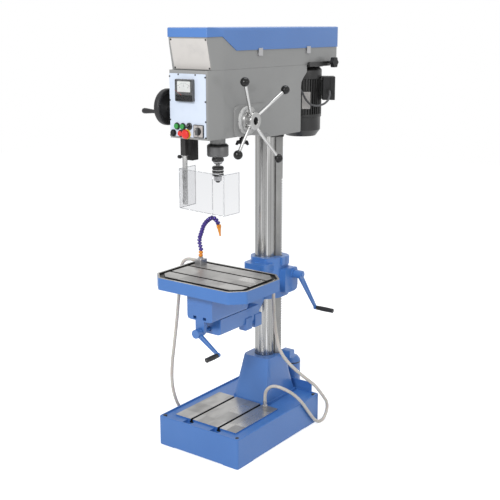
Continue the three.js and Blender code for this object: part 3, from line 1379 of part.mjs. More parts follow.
function controlPanel() {
  const low = headFrontZ + panel.bottom;
  const plate = prismY(rectangle(-panel.halfWidth, panel.halfWidth, low, headFrontZ + panel.top, panel.corner), panelFace, head.front - SEAT);
  const rings = [];
  const holes = [];
  for (const { x, rise, radius } of [...Object.values(buttons), selector]) {
    const z = headFrontZ + rise;
    rings.push(rod(radius + bezel.width, point(x, panelFace + 1, z), point(x, panelFace - bezel.height, z), 12));
    holes.push(hole(radius + RUN, point(x, panelFace, z), point(x, panelFace - bezel.height - 1, z), 12));
  }
  const stopZ = headFrontZ + emergencyStop.rise;
  holes.push(hole(button.stemRadius + RUN, point(emergencyStop.x, head.front + 1, stopZ), point(emergencyStop.x, panelFace - 2, stopZ), 8));
  const { x, plateHalf } = mainSwitch;
  const z = headFrontZ + mainSwitch.rise;
  rings.push(prismY(rectangle(x - plateHalf, x + plateHalf, z - plateHalf, z + plateHalf, 3), panelFace - mainSwitch.plateThick, panelFace + 0.5));
  return cut(join(plate, ...rings), ...holes);
}

function digitalReadout() {
  const z0 = headFrontZ + readout.low;
  const back = panelFace - SEAT;
  const body = prismY(rectangle(readout.x0, readout.x1, z0, z0 + readout.height, readout.corner), back - readout.depth, back);
  const window = prismY(
    rectangle(readout.x0 + readout.windowSide, readout.x1 - readout.windowSide, z0 + readout.windowLow,
      z0 + readout.height - readout.windowTop, 3),
    back - readout.depth - 1, back - readout.depth + 2);
  return cut(body, window);
}

// A round button: a cap that sinks into the panel's ring.
function pushButton({ x, rise, radius, proud }) {
  const z = headFrontZ + rise;
  const seat = panelFace - button.seat;
  const cap = turned([[0, 0], [radius, 0], [radius, proud - 2], [radius - 2, proud], [0, proud]], 12);
  return aim(cap, point(x, seat, z), point(0, -1, 0));
}

function emergencyStopPiece() {
  const { x, rise, radius, stand, capDepth } = emergencyStop;
  const z = headFrontZ + rise;
  const seat = panelFace - stand;
  const cap = aim(turned([
    [0, 0], [radius * 0.8, 0], [radius, 4], [radius, capDepth - 5], [radius * 0.82, capDepth - 1], [0, capDepth],
  ], 16), point(x, seat, z), point(0, -1, 0));
  const stem = rod(button.stemRadius, point(x, head.front + button.stemLength, z), point(x, seat - 1, z), 8);
  return join(cap, stem);
}

// A turn switch: a disc with a raised grip bar, lying over at an angle.
function rotaryKnob({ x, rise, radius, proud, wing }, seatY) {
  const z = headFrontZ + rise;
  const disc = rod(radius, point(x, seatY, z), point(x, seatY - proud * 0.45, z), 12);
  const lever = prismY(rectangle(-wing, wing, -radius, radius, 3), seatY - proud, seatY - proud * 0.4);
  return join(disc, lever.rotateY(0.5).translate(x, 0, z));
}

// ---------------------------------------------------------------- hand controls

function speedHandwheel() {
  const z = headZ + handwheel.rise;
  const r = handwheel.radius;
  const rim = handwheel.rimDepth;
  const dish = turned([
    [0, -4], [22, -4], [r - 10, 0], [r, -4], [r, 8], [r - 4, rim / 2], [r - 12, 8], [24, 12], [20, rim], [0, rim],
  ], 18);
  const wheel = aim(dish, point(handwheel.plane, handwheel.y, z), point(1, 0, 0));
  const shaft = rod(handwheel.shaftRadius, point(handwheel.plane, handwheel.y, z), point(-head.noseHalf + 12, handwheel.y, z), 12);
  const turn = THREE.MathUtils.degToRad(handwheel.gripAngle);
  const at = point(handwheel.plane + 3, handwheel.y + handwheel.gripArm * Math.cos(turn), z + handwheel.gripArm * Math.sin(turn));
  const handle = grip(at, point(-1, 0, 0), handwheel.gripRadius, handwheel.gripLength);
  return join(wheel, shaft, handle);
}

function wingKnobPiece() {
  const { x, y, stemRadius, stemLength, wingSpan, wingHeight, wingThick } = wingKnob;
  const stem = rod(stemRadius, point(x, y, headFrontZ + head.floor - 2), point(x, y, headFrontZ - stemLength), 12);
  const low = headFrontZ - stemLength - wingHeight;
  const wings = prismY(
    outline([
      [-wingSpan / 2, low + 4], [-wingSpan / 2 + 8, low], [-10, low + 10, 4], [10, low + 10, 4], [wingSpan / 2 - 8, low],
      [wingSpan / 2, low + 4], [wingSpan / 2 - 6, low + wingHeight - 4], [12, low + wingHeight], [-12, low + wingHeight],
      [-wingSpan / 2 + 6, low + wingHeight - 4],
    ]),
    -wingThick / 2, wingThick / 2,
  );
  const neck = rod(stemRadius + 6, point(x, y, headFrontZ - stemLength + 10), point(x, y, low + 6), 12);
  return join(stem, neck, wings.rotateZ(0.6).translate(x, y, 0));
}

// ---------------------------------------------------------------- guard

function guardSwitchBox() {
  const top = headFrontZ - SEAT;
  return prismZ(rectangle(guardBox.x0, guardBox.x1, guardBox.front, guardBox.rear, 3), top - guardBox.height, top);
}

// The square post that swings under the head, with the slim rod that the guard's tube slides on.
function guardPostPiece() {
  const { x, y, half, height, rodRadius, rodLength } = guardPost;
  const top = headFrontZ - SEAT;
  const post = prismZ(rectangle(x - half, x + half, y - half, y + half, 3), top - height, top);
  return join(post, rod(rodRadius, point(x, y, guardTop - rodLength), point(x, y, guardTop + 1), 10));
}

// The corners of the clear sheet, from its left rear edge round the front to its right rear edge.
const shieldLine = [[-134, -167], [-128, -285], [85, -316], [150, -320], [152, -215]];

function guardShield() {
  const { x, y } = guardPost;
  const low = headZ - 1461 + shield.bottom;
  const high = low + shield.height;
  const half = shield.thick / 2;
  const strip = ([x0, y0], [x1, y1]) => {
    const along = new THREE.Vector2(x1 - x0, y1 - y0).setLength(half);
    const corner = (cx, cy, ahead, left) => [cx + ahead * along.x - left * along.y, cy + ahead * along.y + left * along.x];
    return prismZ(outline([corner(x0, y0, -1, 1), corner(x0, y0, -1, -1), corner(x1, y1, 1, -1), corner(x1, y1, 1, 1)]), low, high);
  };
  const strips = shieldLine.slice(1).map((corner, i) => strip(shieldLine[i], corner));
  const tubeTop = guardTop - SEAT;
  const outer = rod(guardTube.radius, point(x, y, tubeTop - guardTube.height), point(x, y, tubeTop), 12);
  const bridges = [low + 30, high - 45].map((z) => block(x - guardTube.bridge, x + guardTube.bridge, -287, y, z, z + 16));
  const bore = hole(guardPost.rodRadius + RUN, point(x, y, tubeTop - guardTube.height - 1), point(x, y, tubeTop + 1), 10);
  const screwZ0 = tubeTop - thumbScrew.drop;
  const screwHole = hole(thumbScrew.radius + RUN, point(x, y, screwZ0), point(x - 2 * guardTube.radius, y, screwZ0), 10);
  return cut(join(outer, ...strips, ...bridges), bore, screwHole);
}

function guardThumbScrew() {
  const { x, y, rodRadius } = guardPost;
  const z = guardTop - SEAT - thumbScrew.drop;
  const start = x - rodRadius - SEAT;
  const end = start - thumbScrew.length;
  const stem = rod(thumbScrew.radius, point(start, y, z), point(end, y, z), 10);
  const headPart = rod(thumbScrew.headRadius, point(end + 9, y, z), point(end - 5, y, z), 12);
  return join(stem, headPart);
}

// ---------------------------------------------------------------- coolant on the table

function coolantStand() {
  const low = tableTop + SEAT;
  const body = prismZ(rectangle(stand.x - stand.halfX, stand.x + stand.halfX, stand.y - stand.halfY, stand.y + stand.halfY, 3), low, low + stand.height);
  const neck = rod(stand.neck, point(stand.x, stand.y, low + stand.height - 2), point(stand.x, stand.y, low + stand.height + 10), 12);
  return join(body, neck);
}

// Each bead's place across and along from the magnetic base, and its rise over the table.
const beadRoute = [
  [0, 0, stand.height + 10 + 2 * SEAT], [0, 0, stand.height + 24], [2, 0, 73.7], [-6, 0, 105.7], [-5, 0, 129.7],
  [8, -1, 160.7], [21, -2, 191.7], [47, -3, 220.7], [79, -4, 238.7], [102, -5, 228.7], [118, -6, 205.7],
  [126, -6, 181.7], [124, -6, 158.7],
].map(([across, along, rise]) => [stand.x + across, stand.y + along, tableTop + rise]);

// A chain of ball joints as one skin whose radius swells and narrows once for each bead, with the nozzle at its end.
function segmentedHose() {
  const path = new THREE.CatmullRomCurve3(beadRoute.map(([x, y, z]) => point(x, y, z)));
  const count = Math.round(path.getLength() / beads.pitch);
  const perBead = 2;
  const rings = [];
  const frames = path.computeFrenetFrames(count * perBead);
  const ring = (centre, normal, binormal, radius) => {
    const points = [];
    for (let k = 0; k < beads.sides; k++) {
      const turn = (2 * Math.PI * k) / beads.sides;
      points.push(centre.clone().addScaledVector(normal, radius * Math.cos(turn)).addScaledVector(binormal, radius * Math.sin(turn)));
    }
    return points;
  };
  for (let i = 0; i <= count * perBead; i++) {
    const phase = (i % perBead) / perBead;
    const radius = THREE.MathUtils.lerp(beads.waist, beads.radius, Math.sin(Math.PI * phase));
    rings.push(ring(path.getPointAt(i / (count * perBead)), frames.normals[i], frames.binormals[i], radius));
  }
  const last = count * perBead;
  const end = path.getPointAt(1);
  const along = path.getTangentAt(1);
  for (const [share, radius] of [[0.12, beads.radius], [0.3, beads.radius], [0.36, 8], [1, beads.nozzleTip]])
    rings.push(ring(end.clone().addScaledVector(along, share * beads.nozzleLength), frames.normals[last], frames.binormals[last], radius));
  return loft(rings);
}

// ---------------------------------------------------------------- assembly

add("base_casting", baseCasting(), BLUE, 0.45);
add("column_pedestal", columnPedestal(), BLUE, 0.45);
add("column", columnTube(), STEEL, 0.25, 1);
add("column_rack", columnRack(), DARK_STEEL, 0.4, 1);
add("rack_clip", rackClipPiece(), BLACK, 0.5);
add("coolant_pump", coolantPump(), BLUE, 0.45);
add("drain_fitting", drainFitting(), STEEL, 0.35, 1);
add("supply_hose", tube(supplyRoute, hose.radius, 42), HOSE, 0.4);
add("supply_hose_top", tube(supplyTopRoute, hose.radius, 1), HOSE, 0.4);
add("drain_hose", tube(drainRoute, hose.radius, 38), HOSE, 0.4);
add("drain_hose_top", tube(drainTopRoute, hose.radius, 5), HOSE, 0.4);

add("knee_casting", kneeCasting(), BLUE, 0.45);
add("lift_pinion", liftPinionPiece(), DARK_STEEL, 0.4, 1);
add("lift_crank", liftCrankPiece(), BLUE, 0.45);
add("lift_grip", grip(liftTip.clone().add(point(liftCrank.armThick * 0.55 + SEAT, 0, 0)), point(1, 0, 0),
  liftCrank.gripRadius, liftCrank.gripLength), BLACK, 0.5);
add("table_saddle", saddlePiece(), BLUE, 0.45);
add("work_table", workTable(), BLUE, 0.45);
add("cross_crank", crossCrankPiece(), BLUE, 0.45);
add("cross_grip", grip(crossTip.clone().add(point(0, -crossCrank.armThick * 0.55 - SEAT, 0)), point(0, -1, 0),
  crossCrank.gripRadius, crossCrank.gripLength), BLACK, 0.5);
add("coolant_stand", coolantStand(), DARK_STEEL, 0.4, 0.6);
add("segmented_hose", segmentedHose(), 0x3d2f7f, 0.45);

add("head_casting", headCasting(), GREY, 0.5);
add("quill", quillPiece(), DARK_STEEL, 0.35, 1);
add("spindle", spindlePiece(), STEEL, 0.25, 1);
add("drill_chuck", drillChuck(), DARK_STEEL, 0.3, 1);
add("chuck_sleeve", chuckSleeve(), STEEL, 0.25, 1);
add("feed_spider", feedSpider(), STEEL, 0.25, 1);
add("feed_dial", feedDial(), STEEL, 0.35, 1);
feedArms().forEach((place, k) => add("feed_knob_" + (k + 1), ballKnob(place), BLACK, 0.2));
add("quill_lock_knob", wingKnobPiece(), BLACK, 0.45);
add("speed_handwheel", speedHandwheel(), BLACK, 0.45);

add("belt_housing", beltHousing(), GREY, 0.5);
add("belt_lid", beltLid(), BLUE, 0.4);
add("lid_latch_front", latchPiece(latch.frontY), GREY, 0.4, 0.6);
add("lid_latch_rear", latchPiece(latch.rearY), GREY, 0.4, 0.6);
add("spindle_pulley", spindlePulley(), DARK_STEEL, 0.4, 1);
add("motor_pulley", motorPulley(), DARK_STEEL, 0.4, 1);
add("drive_belt", driveBelt(), BLACK, 0.7);

add("motor_plate", motorPlate(), BLACK, 0.5);
add("motor_body", motorBody(), BLACK, 0.5);
add("fan_cover", fanCover(), BLACK, 0.5);
add("terminal_box", terminalBox(), BLACK, 0.5);
add("motor_conduit", tube(conduitRoute, conduitRadius, 14), 0x3a3a3c, 0.5);
add("motor_lock_knob", lockKnobPiece(), BLACK, 0.4);

add("control_panel", controlPanel(), 0xdde6f2, 0.4);
add("digital_readout", digitalReadout(), BLACK, 0.4);
const buttonColors = { start_button_left: 0x1f8f3a, start_button_right: 0x1f8f3a, jog_button: BLACK, stop_button: 0xc8201c };
for (const [name, size] of Object.entries(buttons)) add(name, pushButton(size), buttonColors[name], 0.35);
add("mode_selector", rotaryKnob(selector, panelFace - button.seat), BLACK, 0.35);
add("emergency_stop", emergencyStopPiece(), 0xd8231c, 0.35);
add("main_switch", rotaryKnob(mainSwitch, panelFace - mainSwitch.plateThick - SEAT), BLACK, 0.35);

add("guard_switch_box", guardSwitchBox(), BLACK, 0.5);
add("guard_post", guardPostPiece(), BLACK, 0.5);
const clear = add("guard_shield", guardShield(), 0xe8eef2, 0.1);
clear.material.transparent = true;
clear.material.opacity = 0.35;
add("guard_thumbscrew", guardThumbScrew(), BLACK, 0.4);

const extent = new THREE.Box3();
for (const mesh of machine.children) if (!cords.includes(mesh.name)) extent.expandByObject(mesh);
const centre = extent.getCenter(new THREE.Vector3());
machine.position.set(-centre.x, -centre.y, -extent.min.z);

export default machine;
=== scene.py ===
# %% [markdown]
# A pedestal drill press, finished in Blender.
# The rigid machine comes in ready made, as a frame of named parts that already move
# on their joints. This lesson adds what a workshop machine shows up close: enamel,
# ground steel, milled plates, hoses and fasteners.

# %% Load the frame
import math

import bmesh
import bpy
from mathutils import Matrix, Vector


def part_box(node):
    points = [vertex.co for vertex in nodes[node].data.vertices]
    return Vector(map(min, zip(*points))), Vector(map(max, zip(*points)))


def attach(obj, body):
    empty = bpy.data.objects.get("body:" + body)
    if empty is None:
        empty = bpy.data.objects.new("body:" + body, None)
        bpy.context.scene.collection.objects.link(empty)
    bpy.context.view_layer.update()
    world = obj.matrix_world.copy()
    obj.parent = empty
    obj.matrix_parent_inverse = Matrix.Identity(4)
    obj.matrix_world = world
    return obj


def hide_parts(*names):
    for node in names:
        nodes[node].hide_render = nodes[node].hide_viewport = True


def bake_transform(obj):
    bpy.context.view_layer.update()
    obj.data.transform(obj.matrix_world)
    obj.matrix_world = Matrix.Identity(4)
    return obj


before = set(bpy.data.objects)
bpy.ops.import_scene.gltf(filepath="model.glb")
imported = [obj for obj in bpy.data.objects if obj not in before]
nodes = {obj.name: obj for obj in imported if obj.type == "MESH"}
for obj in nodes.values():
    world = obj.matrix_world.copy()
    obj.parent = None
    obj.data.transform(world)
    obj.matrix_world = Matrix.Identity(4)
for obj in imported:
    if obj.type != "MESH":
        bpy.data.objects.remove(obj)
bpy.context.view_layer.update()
print("parts in the frame:", len(nodes))

# %% [markdown]
# Drawings of the machine are in millimetres from the centre of its base, but Blender works in metres. One
# small helper turns a drawing point into a scene point, so every number below reads like a drawing.

# %% Machine coordinates
base_low, base_high = (Vector(corner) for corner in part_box("base_casting"))
machine_centre = Vector(((base_low.x + base_high.x) / 2, (base_low.y + base_high.y) / 2, 0))


def at(x, y, z):
    """A point in the machine's own millimetres, as metres in the scene."""
    return machine_centre + Vector((x, y, z)) / 1000


def span(node):
    """A part's lowest and highest corner, in the machine's own millimetres."""
    low, high = (Vector(corner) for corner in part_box(node))
    return (low - machine_centre) * 1000, (high - machine_centre) * 1000


MM = 0.001
UP, RIGHT, REARWARD, FORWARD, LEFT = (0, 0, 1), (1, 0, 0), (0, 1, 0), (0, -1, 0), (-1, 0, 0)
print("machine centre:", tuple(round(value, 4) for value in machine_centre))

# %% [markdown]
# The camera stands in front and to the right, a little above the table, with a moderate telephoto lens. A
# long lens keeps the column's sides nearly parallel, which suits a tall machine.

# %% Camera
camera_data = bpy.data.cameras.new("camera")
camera_data.lens = 66.8
camera_data.sensor_width = 36
camera = bpy.data.objects.new("camera", camera_data)
camera.location = at(2548.9, -3397.8, 1968.7)
camera.rotation_euler = (math.radians(90 - 13.8), 0, math.radians(36.3))
scene = bpy.context.scene
scene.collection.objects.link(camera)
scene.camera = camera
print("camera at", tuple(round(value, 3) for value in camera.location))

# %% [markdown]
# A studio sweep gives soft light from all round, so enamel shows its colour and steel its shape. The world
# is white where the camera, a reflection or a window sees it, and dimmer where it lights the machine.

# %% World, floor and lamps
scene.view_settings.view_transform = "Standard"
world = bpy.data.worlds.new("studio")
scene.world = world
world.use_nodes = True
sky = world.node_tree
sky.nodes.clear()


def plug(tree, socket, value):
    """Feeds a socket from another node's outlet or with a typed value; a colour may leave out its alpha."""
    if isinstance(value, bpy.types.NodeSocket):
        tree.links.new(value, socket)
    elif socket.type == "RGBA":
        socket.default_value = (*value, 1)[:4]
    else:
        socket.default_value = value


def build(tree, kind, **settings):
    """Adds one shader node to a tree; settings name its properties, or its input sockets after in_."""
    made = tree.nodes.new(kind)
    for name, value in settings.items():
        if name.startswith("in_"):
            key = name[3:]
            plug(tree, made.inputs[int(key) if key.isdigit() else key.replace("_", " ")], value)
        else:
            setattr(made, name, value)
    return made


def maths(tree, operation, *values):
    """The outlet of one maths node; each value is a number or another node's outlet."""
    sockets = {f"in_{place}": value for place, value in enumerate(values)}
    return build(tree, "ShaderNodeMath", operation=operation, **sockets).outputs[0]


def vector_maths(tree, operation, *values):
    """The same for a vector maths node."""
    sockets = {f"in_{place}": value for place, value in enumerate(values)}
    return build(tree, "ShaderNodeVectorMath", operation=operation, **sockets).outputs[0]


def seen_directly(tree):
    """1 where the camera, a reflection or a window looks at something, 0 where it only sends light."""
    rays = build(tree, "ShaderNodeLightPath")
    straight = maths(tree, "MAXIMUM", rays.outputs["Is Camera Ray"], rays.outputs["Is Transmission Ray"])
    return maths(tree, "MAXIMUM", straight, rays.outputs["Is Glossy Ray"])


lighting = build(sky, "ShaderNodeBackground", in_Color=(0.95, 0.97, 1.0, 1), in_Strength=0.62)
backdrop = build(sky, "ShaderNodeBackground", in_Color=(1, 1, 1, 1), in_Strength=1.0)
choose = build(sky, "ShaderNodeMixShader", in_0=seen_directly(sky), in_1=lighting.outputs[0],
               in_2=backdrop.outputs[0])
build(sky, "ShaderNodeOutputWorld", in_Surface=choose.outputs[0])

floor_mesh = bpy.data.meshes.new("floor")
floor_mesh.from_pydata([(-9, -9, 0), (9, -9, 0), (9, 9, 0), (-9, 9, 0)], [], [(0, 1, 2, 3)])
floor = bpy.data.objects.new("floor", floor_mesh)
scene.collection.objects.link(floor)
floor_look = bpy.data.materials.new("floor")
floor_look.use_nodes = True
tree = floor_look.node_tree
tree.nodes.clear()
matte = build(tree, "ShaderNodeBsdfDiffuse", in_Color=(0.86, 0.86, 0.86, 1))
glow = build(tree, "ShaderNodeEmission", in_Color=(1, 1, 1, 1), in_Strength=0.5)
lit = build(tree, "ShaderNodeAddShader", in_0=matte.outputs[0], in_1=glow.outputs[0])
floor_shade = build(tree, "ShaderNodeMixShader", in_0=seen_directly(tree), in_1=matte.outputs[0],
                    in_2=lit.outputs[0])
build(tree, "ShaderNodeOutputMaterial", in_Surface=floor_shade.outputs[0])
floor_mesh.materials.append(floor_look)


def soft_box(name, place, aim, size, power):
    """A square studio lamp that looks at a point."""
    lamp = bpy.data.lights.new(name, "AREA")
    lamp.energy = power
    lamp.size = size
    holder = bpy.data.objects.new(name, lamp)
    holder.location = place
    holder.rotation_euler = (aim - place).to_track_quat("-Z", "Y").to_euler()
    scene.collection.objects.link(holder)


soft_box("key_lamp", Vector((0.5, -3.6, 2.9)), Vector((0, 0, 1.1)), 0.8, 84)
soft_box("side_lamp", Vector((3.2, -0.6, 2.4)), Vector((0, 0, 1.0)), 1.6, 16)
soft_box("top_lamp", Vector((0.2, 0.6, 4.4)), Vector((0, 0, 1.0)), 2.2, 46)

# %% [markdown]
# Small helpers carry the whole lesson: one makes a mesh object, one turns a profile
# on a lathe, one sweeps a tube. A lathe and a sweep are how most round machine parts
# are really made, so they give true edges and chamfers.

# %% Making pieces
def new_piece(name, vertices, faces, look, body):
    """A mesh object that rides on one of the machine's bodies."""
    mesh = bpy.data.meshes.new(name)
    mesh.from_pydata([tuple(v) for v in vertices], [], faces)
    mesh.validate()
    piece = bpy.data.objects.new(name, mesh)
    scene.collection.objects.link(piece)
    mesh.materials.append(look)
    if body:
        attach(piece, body)
    return piece


def axis_frame(origin, along, start=None):
    """A matrix whose Z axis points along a direction, for things that are round about it."""
    z = Vector(along).normalized()
    x = Vector(start) if start is not None else (Vector((0, 0, 1)) if abs(z.z) < 0.9 else Vector((1, 0, 0)))
    x = (x - z * x.dot(z)).normalized()
    turned = Matrix((x, z.cross(x), z)).transposed().to_4x4()
    return Matrix.Translation(origin) @ turned


def on_frame(placed, x, y, z=0):
    """A point given in a tilted frame's own millimetres."""
    return placed @ (Vector((x, y, z)) * MM)


ROUNDING_STEPS = 2


def rounded_profile(profile, radius):
    """Rounds off the inner corners of a lathe profile of (radius, height) pairs, in millimetres."""
    made = [Vector(profile[0])]
    for before, here, after in zip(profile, profile[1:], profile[2:]):
        here = Vector(here)
        arm_in, arm_out = Vector(before) - here, Vector(after) - here
        trim = min(radius, arm_in.length / 2.2, arm_out.length / 2.2)
        if trim < 0.05 or here.x < 0.05:
            made.append(here)
            continue
        first, last = here + arm_in.normalized() * trim, here + arm_out.normalized() * trim
        for i in range(ROUNDING_STEPS + 1):
            t = i / ROUNDING_STEPS
            made.append(first.lerp(here, t).lerp(here.lerp(last, t), t))
    made.append(Vector(profile[-1]))
    return made


def turned_piece(name, profile, origin, along, look, body, sides=64, edge=0.8, scallop=None):
    """A piece turned on a lathe: profile runs from one end of the axis to the other in millimetres."""
    line = rounded_profile(profile, edge)
    vertices, rows = [], []
    for point in line:
        if point.x < 0.01:
            rows.append([len(vertices)])
            vertices.append(Vector((0, 0, point.y)) * MM)
            continue
        row = []
        for k in range(sides):
            turn = 2 * math.pi * k / sides
            reach = point.x if scallop is None else scallop(point.x, point.y, turn)
            row.append(len(vertices))
            vertices.append(Vector((reach * math.cos(turn), reach * math.sin(turn), point.y)) * MM)
        rows.append(row)
    faces = []
    for lower, upper in zip(rows, rows[1:]):
        for k in range(sides):
            m = (k + 1) % sides
            if len(lower) == 1 and len(upper) == 1:
                continue
            if len(lower) == 1:
                faces.append((lower[0], upper[m], upper[k]))
            elif len(upper) == 1:
                faces.append((lower[k], lower[m], upper[0]))
            else:
                faces.append((lower[k], lower[m], upper[m], upper[k]))
    placed = axis_frame(origin, along)
    piece = new_piece(name, [placed @ v for v in vertices], faces, look, body)
    tidy_normals(piece)
    smooth(piece, 35)
    return piece


def sleeve(inner, outer, low, high):
    """The lathe profile of a plain ring or bar."""
    return [(inner, low), (outer, low), (outer, high), (inner, high)]


def tidy_normals(piece):
    """Points every face outward."""
    mesh = bmesh.new()
    mesh.from_mesh(piece.data)
    bmesh.ops.recalc_face_normals(mesh, faces=mesh.faces)
    mesh.to_mesh(piece.data)
    mesh.free()


def smooth(piece, degrees):
    """Smooth shading that keeps edges sharper than this angle crisp."""
    piece.data.shade_smooth()
    piece.data.set_sharp_from_angle(angle=math.radians(degrees))


def spline_points(points, count):
    """Evenly spaced points on a smooth curve through the given ones (centripetal Catmull-Rom)."""
    points = [Vector(p) for p in points]
    ends = [points[0] * 2 - points[1]] + points + [points[-1] * 2 - points[-2]]
    fine = []
    for a, b, c, d in zip(ends, ends[1:], ends[2:], ends[3:]):
        knots = [0.0]
        for p, q in ((a, b), (b, c), (c, d)):
            knots.append(knots[-1] + max((q - p).length, 1e-6) ** 0.5)
        for i in range(24):
            t = knots[1] + (knots[2] - knots[1]) * i / 24
            blend_1 = (a * (knots[1] - t) + b * (t - knots[0])) / (knots[1] - knots[0])
            blend_2 = (b * (knots[2] - t) + c * (t - knots[1])) / (knots[2] - knots[1])
            blend_3 = (c * (knots[3] - t) + d * (t - knots[2])) / (knots[3] - knots[2])
            left = (blend_1 * (knots[2] - t) + blend_2 * (t - knots[0])) / (knots[2] - knots[0])
            right = (blend_2 * (knots[3] - t) + blend_3 * (t - knots[1])) / (knots[3] - knots[1])
            fine.append((left * (knots[2] - t) + right * (t - knots[1])) / (knots[2] - knots[1]))
    fine.append(points[-1])
    lengths = [0.0]
    for p, q in zip(fine, fine[1:]):
        lengths.append(lengths[-1] + (q - p).length)
    made, j = [], 0
    for i in range(count + 1):
        goal = lengths[-1] * i / count
        while j + 2 < len(lengths) and lengths[j + 1] < goal:
            j += 1
        step = lengths[j + 1] - lengths[j]
        made.append(fine[j].lerp(fine[j + 1], (goal - lengths[j]) / step if step > 0 else 0))
    return made, lengths[-1]


def swept_tube(name, points, radius, look, body, steps=80, sides=14):
    """A tube along a smooth route, which remembers where each point is round and along it."""
    line, length = spline_points(points, steps)
    vertices, rings = [], []
    side = None
    for i, here in enumerate(line):
        ahead = (line[min(i + 1, steps)] - line[max(i - 1, 0)]).normalized()
        if side is None:
            side = ahead.orthogonal().normalized()
        side = (side - ahead * side.dot(ahead)).normalized()
        other = ahead.cross(side)
        ring = []
        for k in range(sides):
            turn = 2 * math.pi * k / sides
            ring.append(len(vertices))
            vertices.append(here + (side * math.cos(turn) + other * math.sin(turn)) * radius)
        rings.append(ring)
    faces = [tuple(reversed(rings[0])), tuple(rings[-1])]
    for first, second in zip(rings, rings[1:]):
        for k in range(sides):
            m = (k + 1) % sides
            faces.append((first[k], first[m], second[m], second[k]))
    piece = new_piece(name, vertices, faces, look, body)
    way = piece.data.attributes.new("way", "FLOAT_VECTOR", "POINT")
    for i, ring in enumerate(rings):
        for k, corner in enumerate(ring):
            turn = 2 * math.pi * k / sides
            way.data[corner].vector = (math.cos(turn), math.sin(turn), length * i / steps)
    tidy_normals(piece)
    smooth(piece, 50)
    return piece, line, length


print("helpers ready")

# %% [markdown]
# Every finish starts from the same few effects, each made once as a shader group with its own inputs. A
# group gives back only colours, masks, roughness and heights; the shader itself stays in each material.
# Positions come from the object itself in metres, so a 1 mm grain is the same size on every part.

# %% Shared effects
def effect(name, inputs, outputs):
    """Starts a shader group; inputs map a name to its kind and default, outputs name the values it gives."""
    group = bpy.data.node_groups.new(name, "ShaderNodeTree")
    for key, (kind, value) in inputs.items():
        socket = group.interface.new_socket(key, in_out="INPUT", socket_type="NodeSocket" + kind)
        if value is not None:
            socket.default_value = value
    for key, kind in outputs.items():
        group.interface.new_socket(key, in_out="OUTPUT", socket_type="NodeSocket" + kind)
    return group, build(group, "NodeGroupInput").outputs, build(group, "NodeGroupOutput")


def give(group, end, **values):
    """Connects a group's results to its outputs."""
    for key, socket in values.items():
        group.links.new(socket, end.inputs[key])


def scaled_noise(tree, place, scale, detail=2.0, roughness=0.5, stretch=None):
    """Noise of a given size per metre, stretched along an axis where asked."""
    if stretch is not None:
        place = vector_maths(tree, "MULTIPLY", place, stretch)
    return build(tree, "ShaderNodeTexNoise", in_Vector=place, in_Scale=scale, in_Detail=detail,
                 in_Roughness=roughness).outputs["Fac"]


def sum_up(tree, value, factor, offset=0.0):
    """value * factor + offset."""
    return maths(tree, "MULTIPLY_ADD", value, factor, offset)


def blended(tree, mask, first, second):
    """A colour that goes from the first to the second as the mask goes from 0 to 1."""
    return build(tree, "ShaderNodeMix", data_type="RGBA", in_0=mask, in_6=first, in_7=second).outputs[2]


def between(tree, value, low, high):
    """A mask that rises from 0 to 1 as the value goes from low to high."""
    return build(tree, "ShaderNodeMapRange", in_Value=value, in_From_Min=low, in_From_Max=high).outputs[0]


# Enamel: colour drifts a little over the casting, and the sprayed surface is slightly orange-peeled.
enamel_skin, given, end = effect("enamel_skin", {"Place": ("Vector", None), "Colour": ("Color", None),
                                                 "Deep Colour": ("Color", None), "Casting": ("Float", 0.5)},
                                 {"Colour": "Color", "Roughness": "Float", "Height": "Float"})
drift = scaled_noise(enamel_skin, given["Place"], 3.1, 3)
peel = scaled_noise(enamel_skin, given["Place"], 240, 2)
sand = scaled_noise(enamel_skin, given["Place"], 620, 4, 0.65)
speck = between(enamel_skin, scaled_noise(enamel_skin, given["Place"], 55, 5, 0.7), 0.72, 0.78)
tone = blended(enamel_skin, between(enamel_skin, drift, 0.3, 0.7), given["Colour"], given["Deep Colour"])
sanded = maths(enamel_skin, "MULTIPLY", sand, given["Casting"])
give(enamel_skin, end,
     Colour=blended(enamel_skin, sum_up(enamel_skin, speck, 0.25), tone, (0.03, 0.035, 0.04)),
     Roughness=sum_up(enamel_skin, peel, 0.22, 0.24),
     Height=maths(enamel_skin, "ADD", peel, sanded))

# Tool marks: fine parallel scratches that a lathe, a grinder or a brush leaves, stretched along one axis.
tool_marks, given, end = effect("tool_marks", {"Place": ("Vector", None), "Stretch": ("Vector", None),
                                               "Bright": ("Color", None), "Dark": ("Color", None),
                                               "Smooth": ("Float", 0.2)},
                                {"Colour": "Color", "Roughness": "Float", "Height": "Float"})
drawn = vector_maths(tool_marks, "MULTIPLY", given["Place"], given["Stretch"])
scratch = scaled_noise(tool_marks, drawn, 1.0, 6, 0.75)
cloud = scaled_noise(tool_marks, given["Place"], 18, 3)
marked = maths(tool_marks, "MULTIPLY_ADD", cloud, 0.35, sum_up(tool_marks, scratch, 0.8, -0.1))
rough = maths(tool_marks, "MULTIPLY_ADD", scratch, 0.22, given["Smooth"])
give(tool_marks, end, Colour=blended(tool_marks, marked, given["Bright"], given["Dark"]), Roughness=rough,
     Height=scratch)

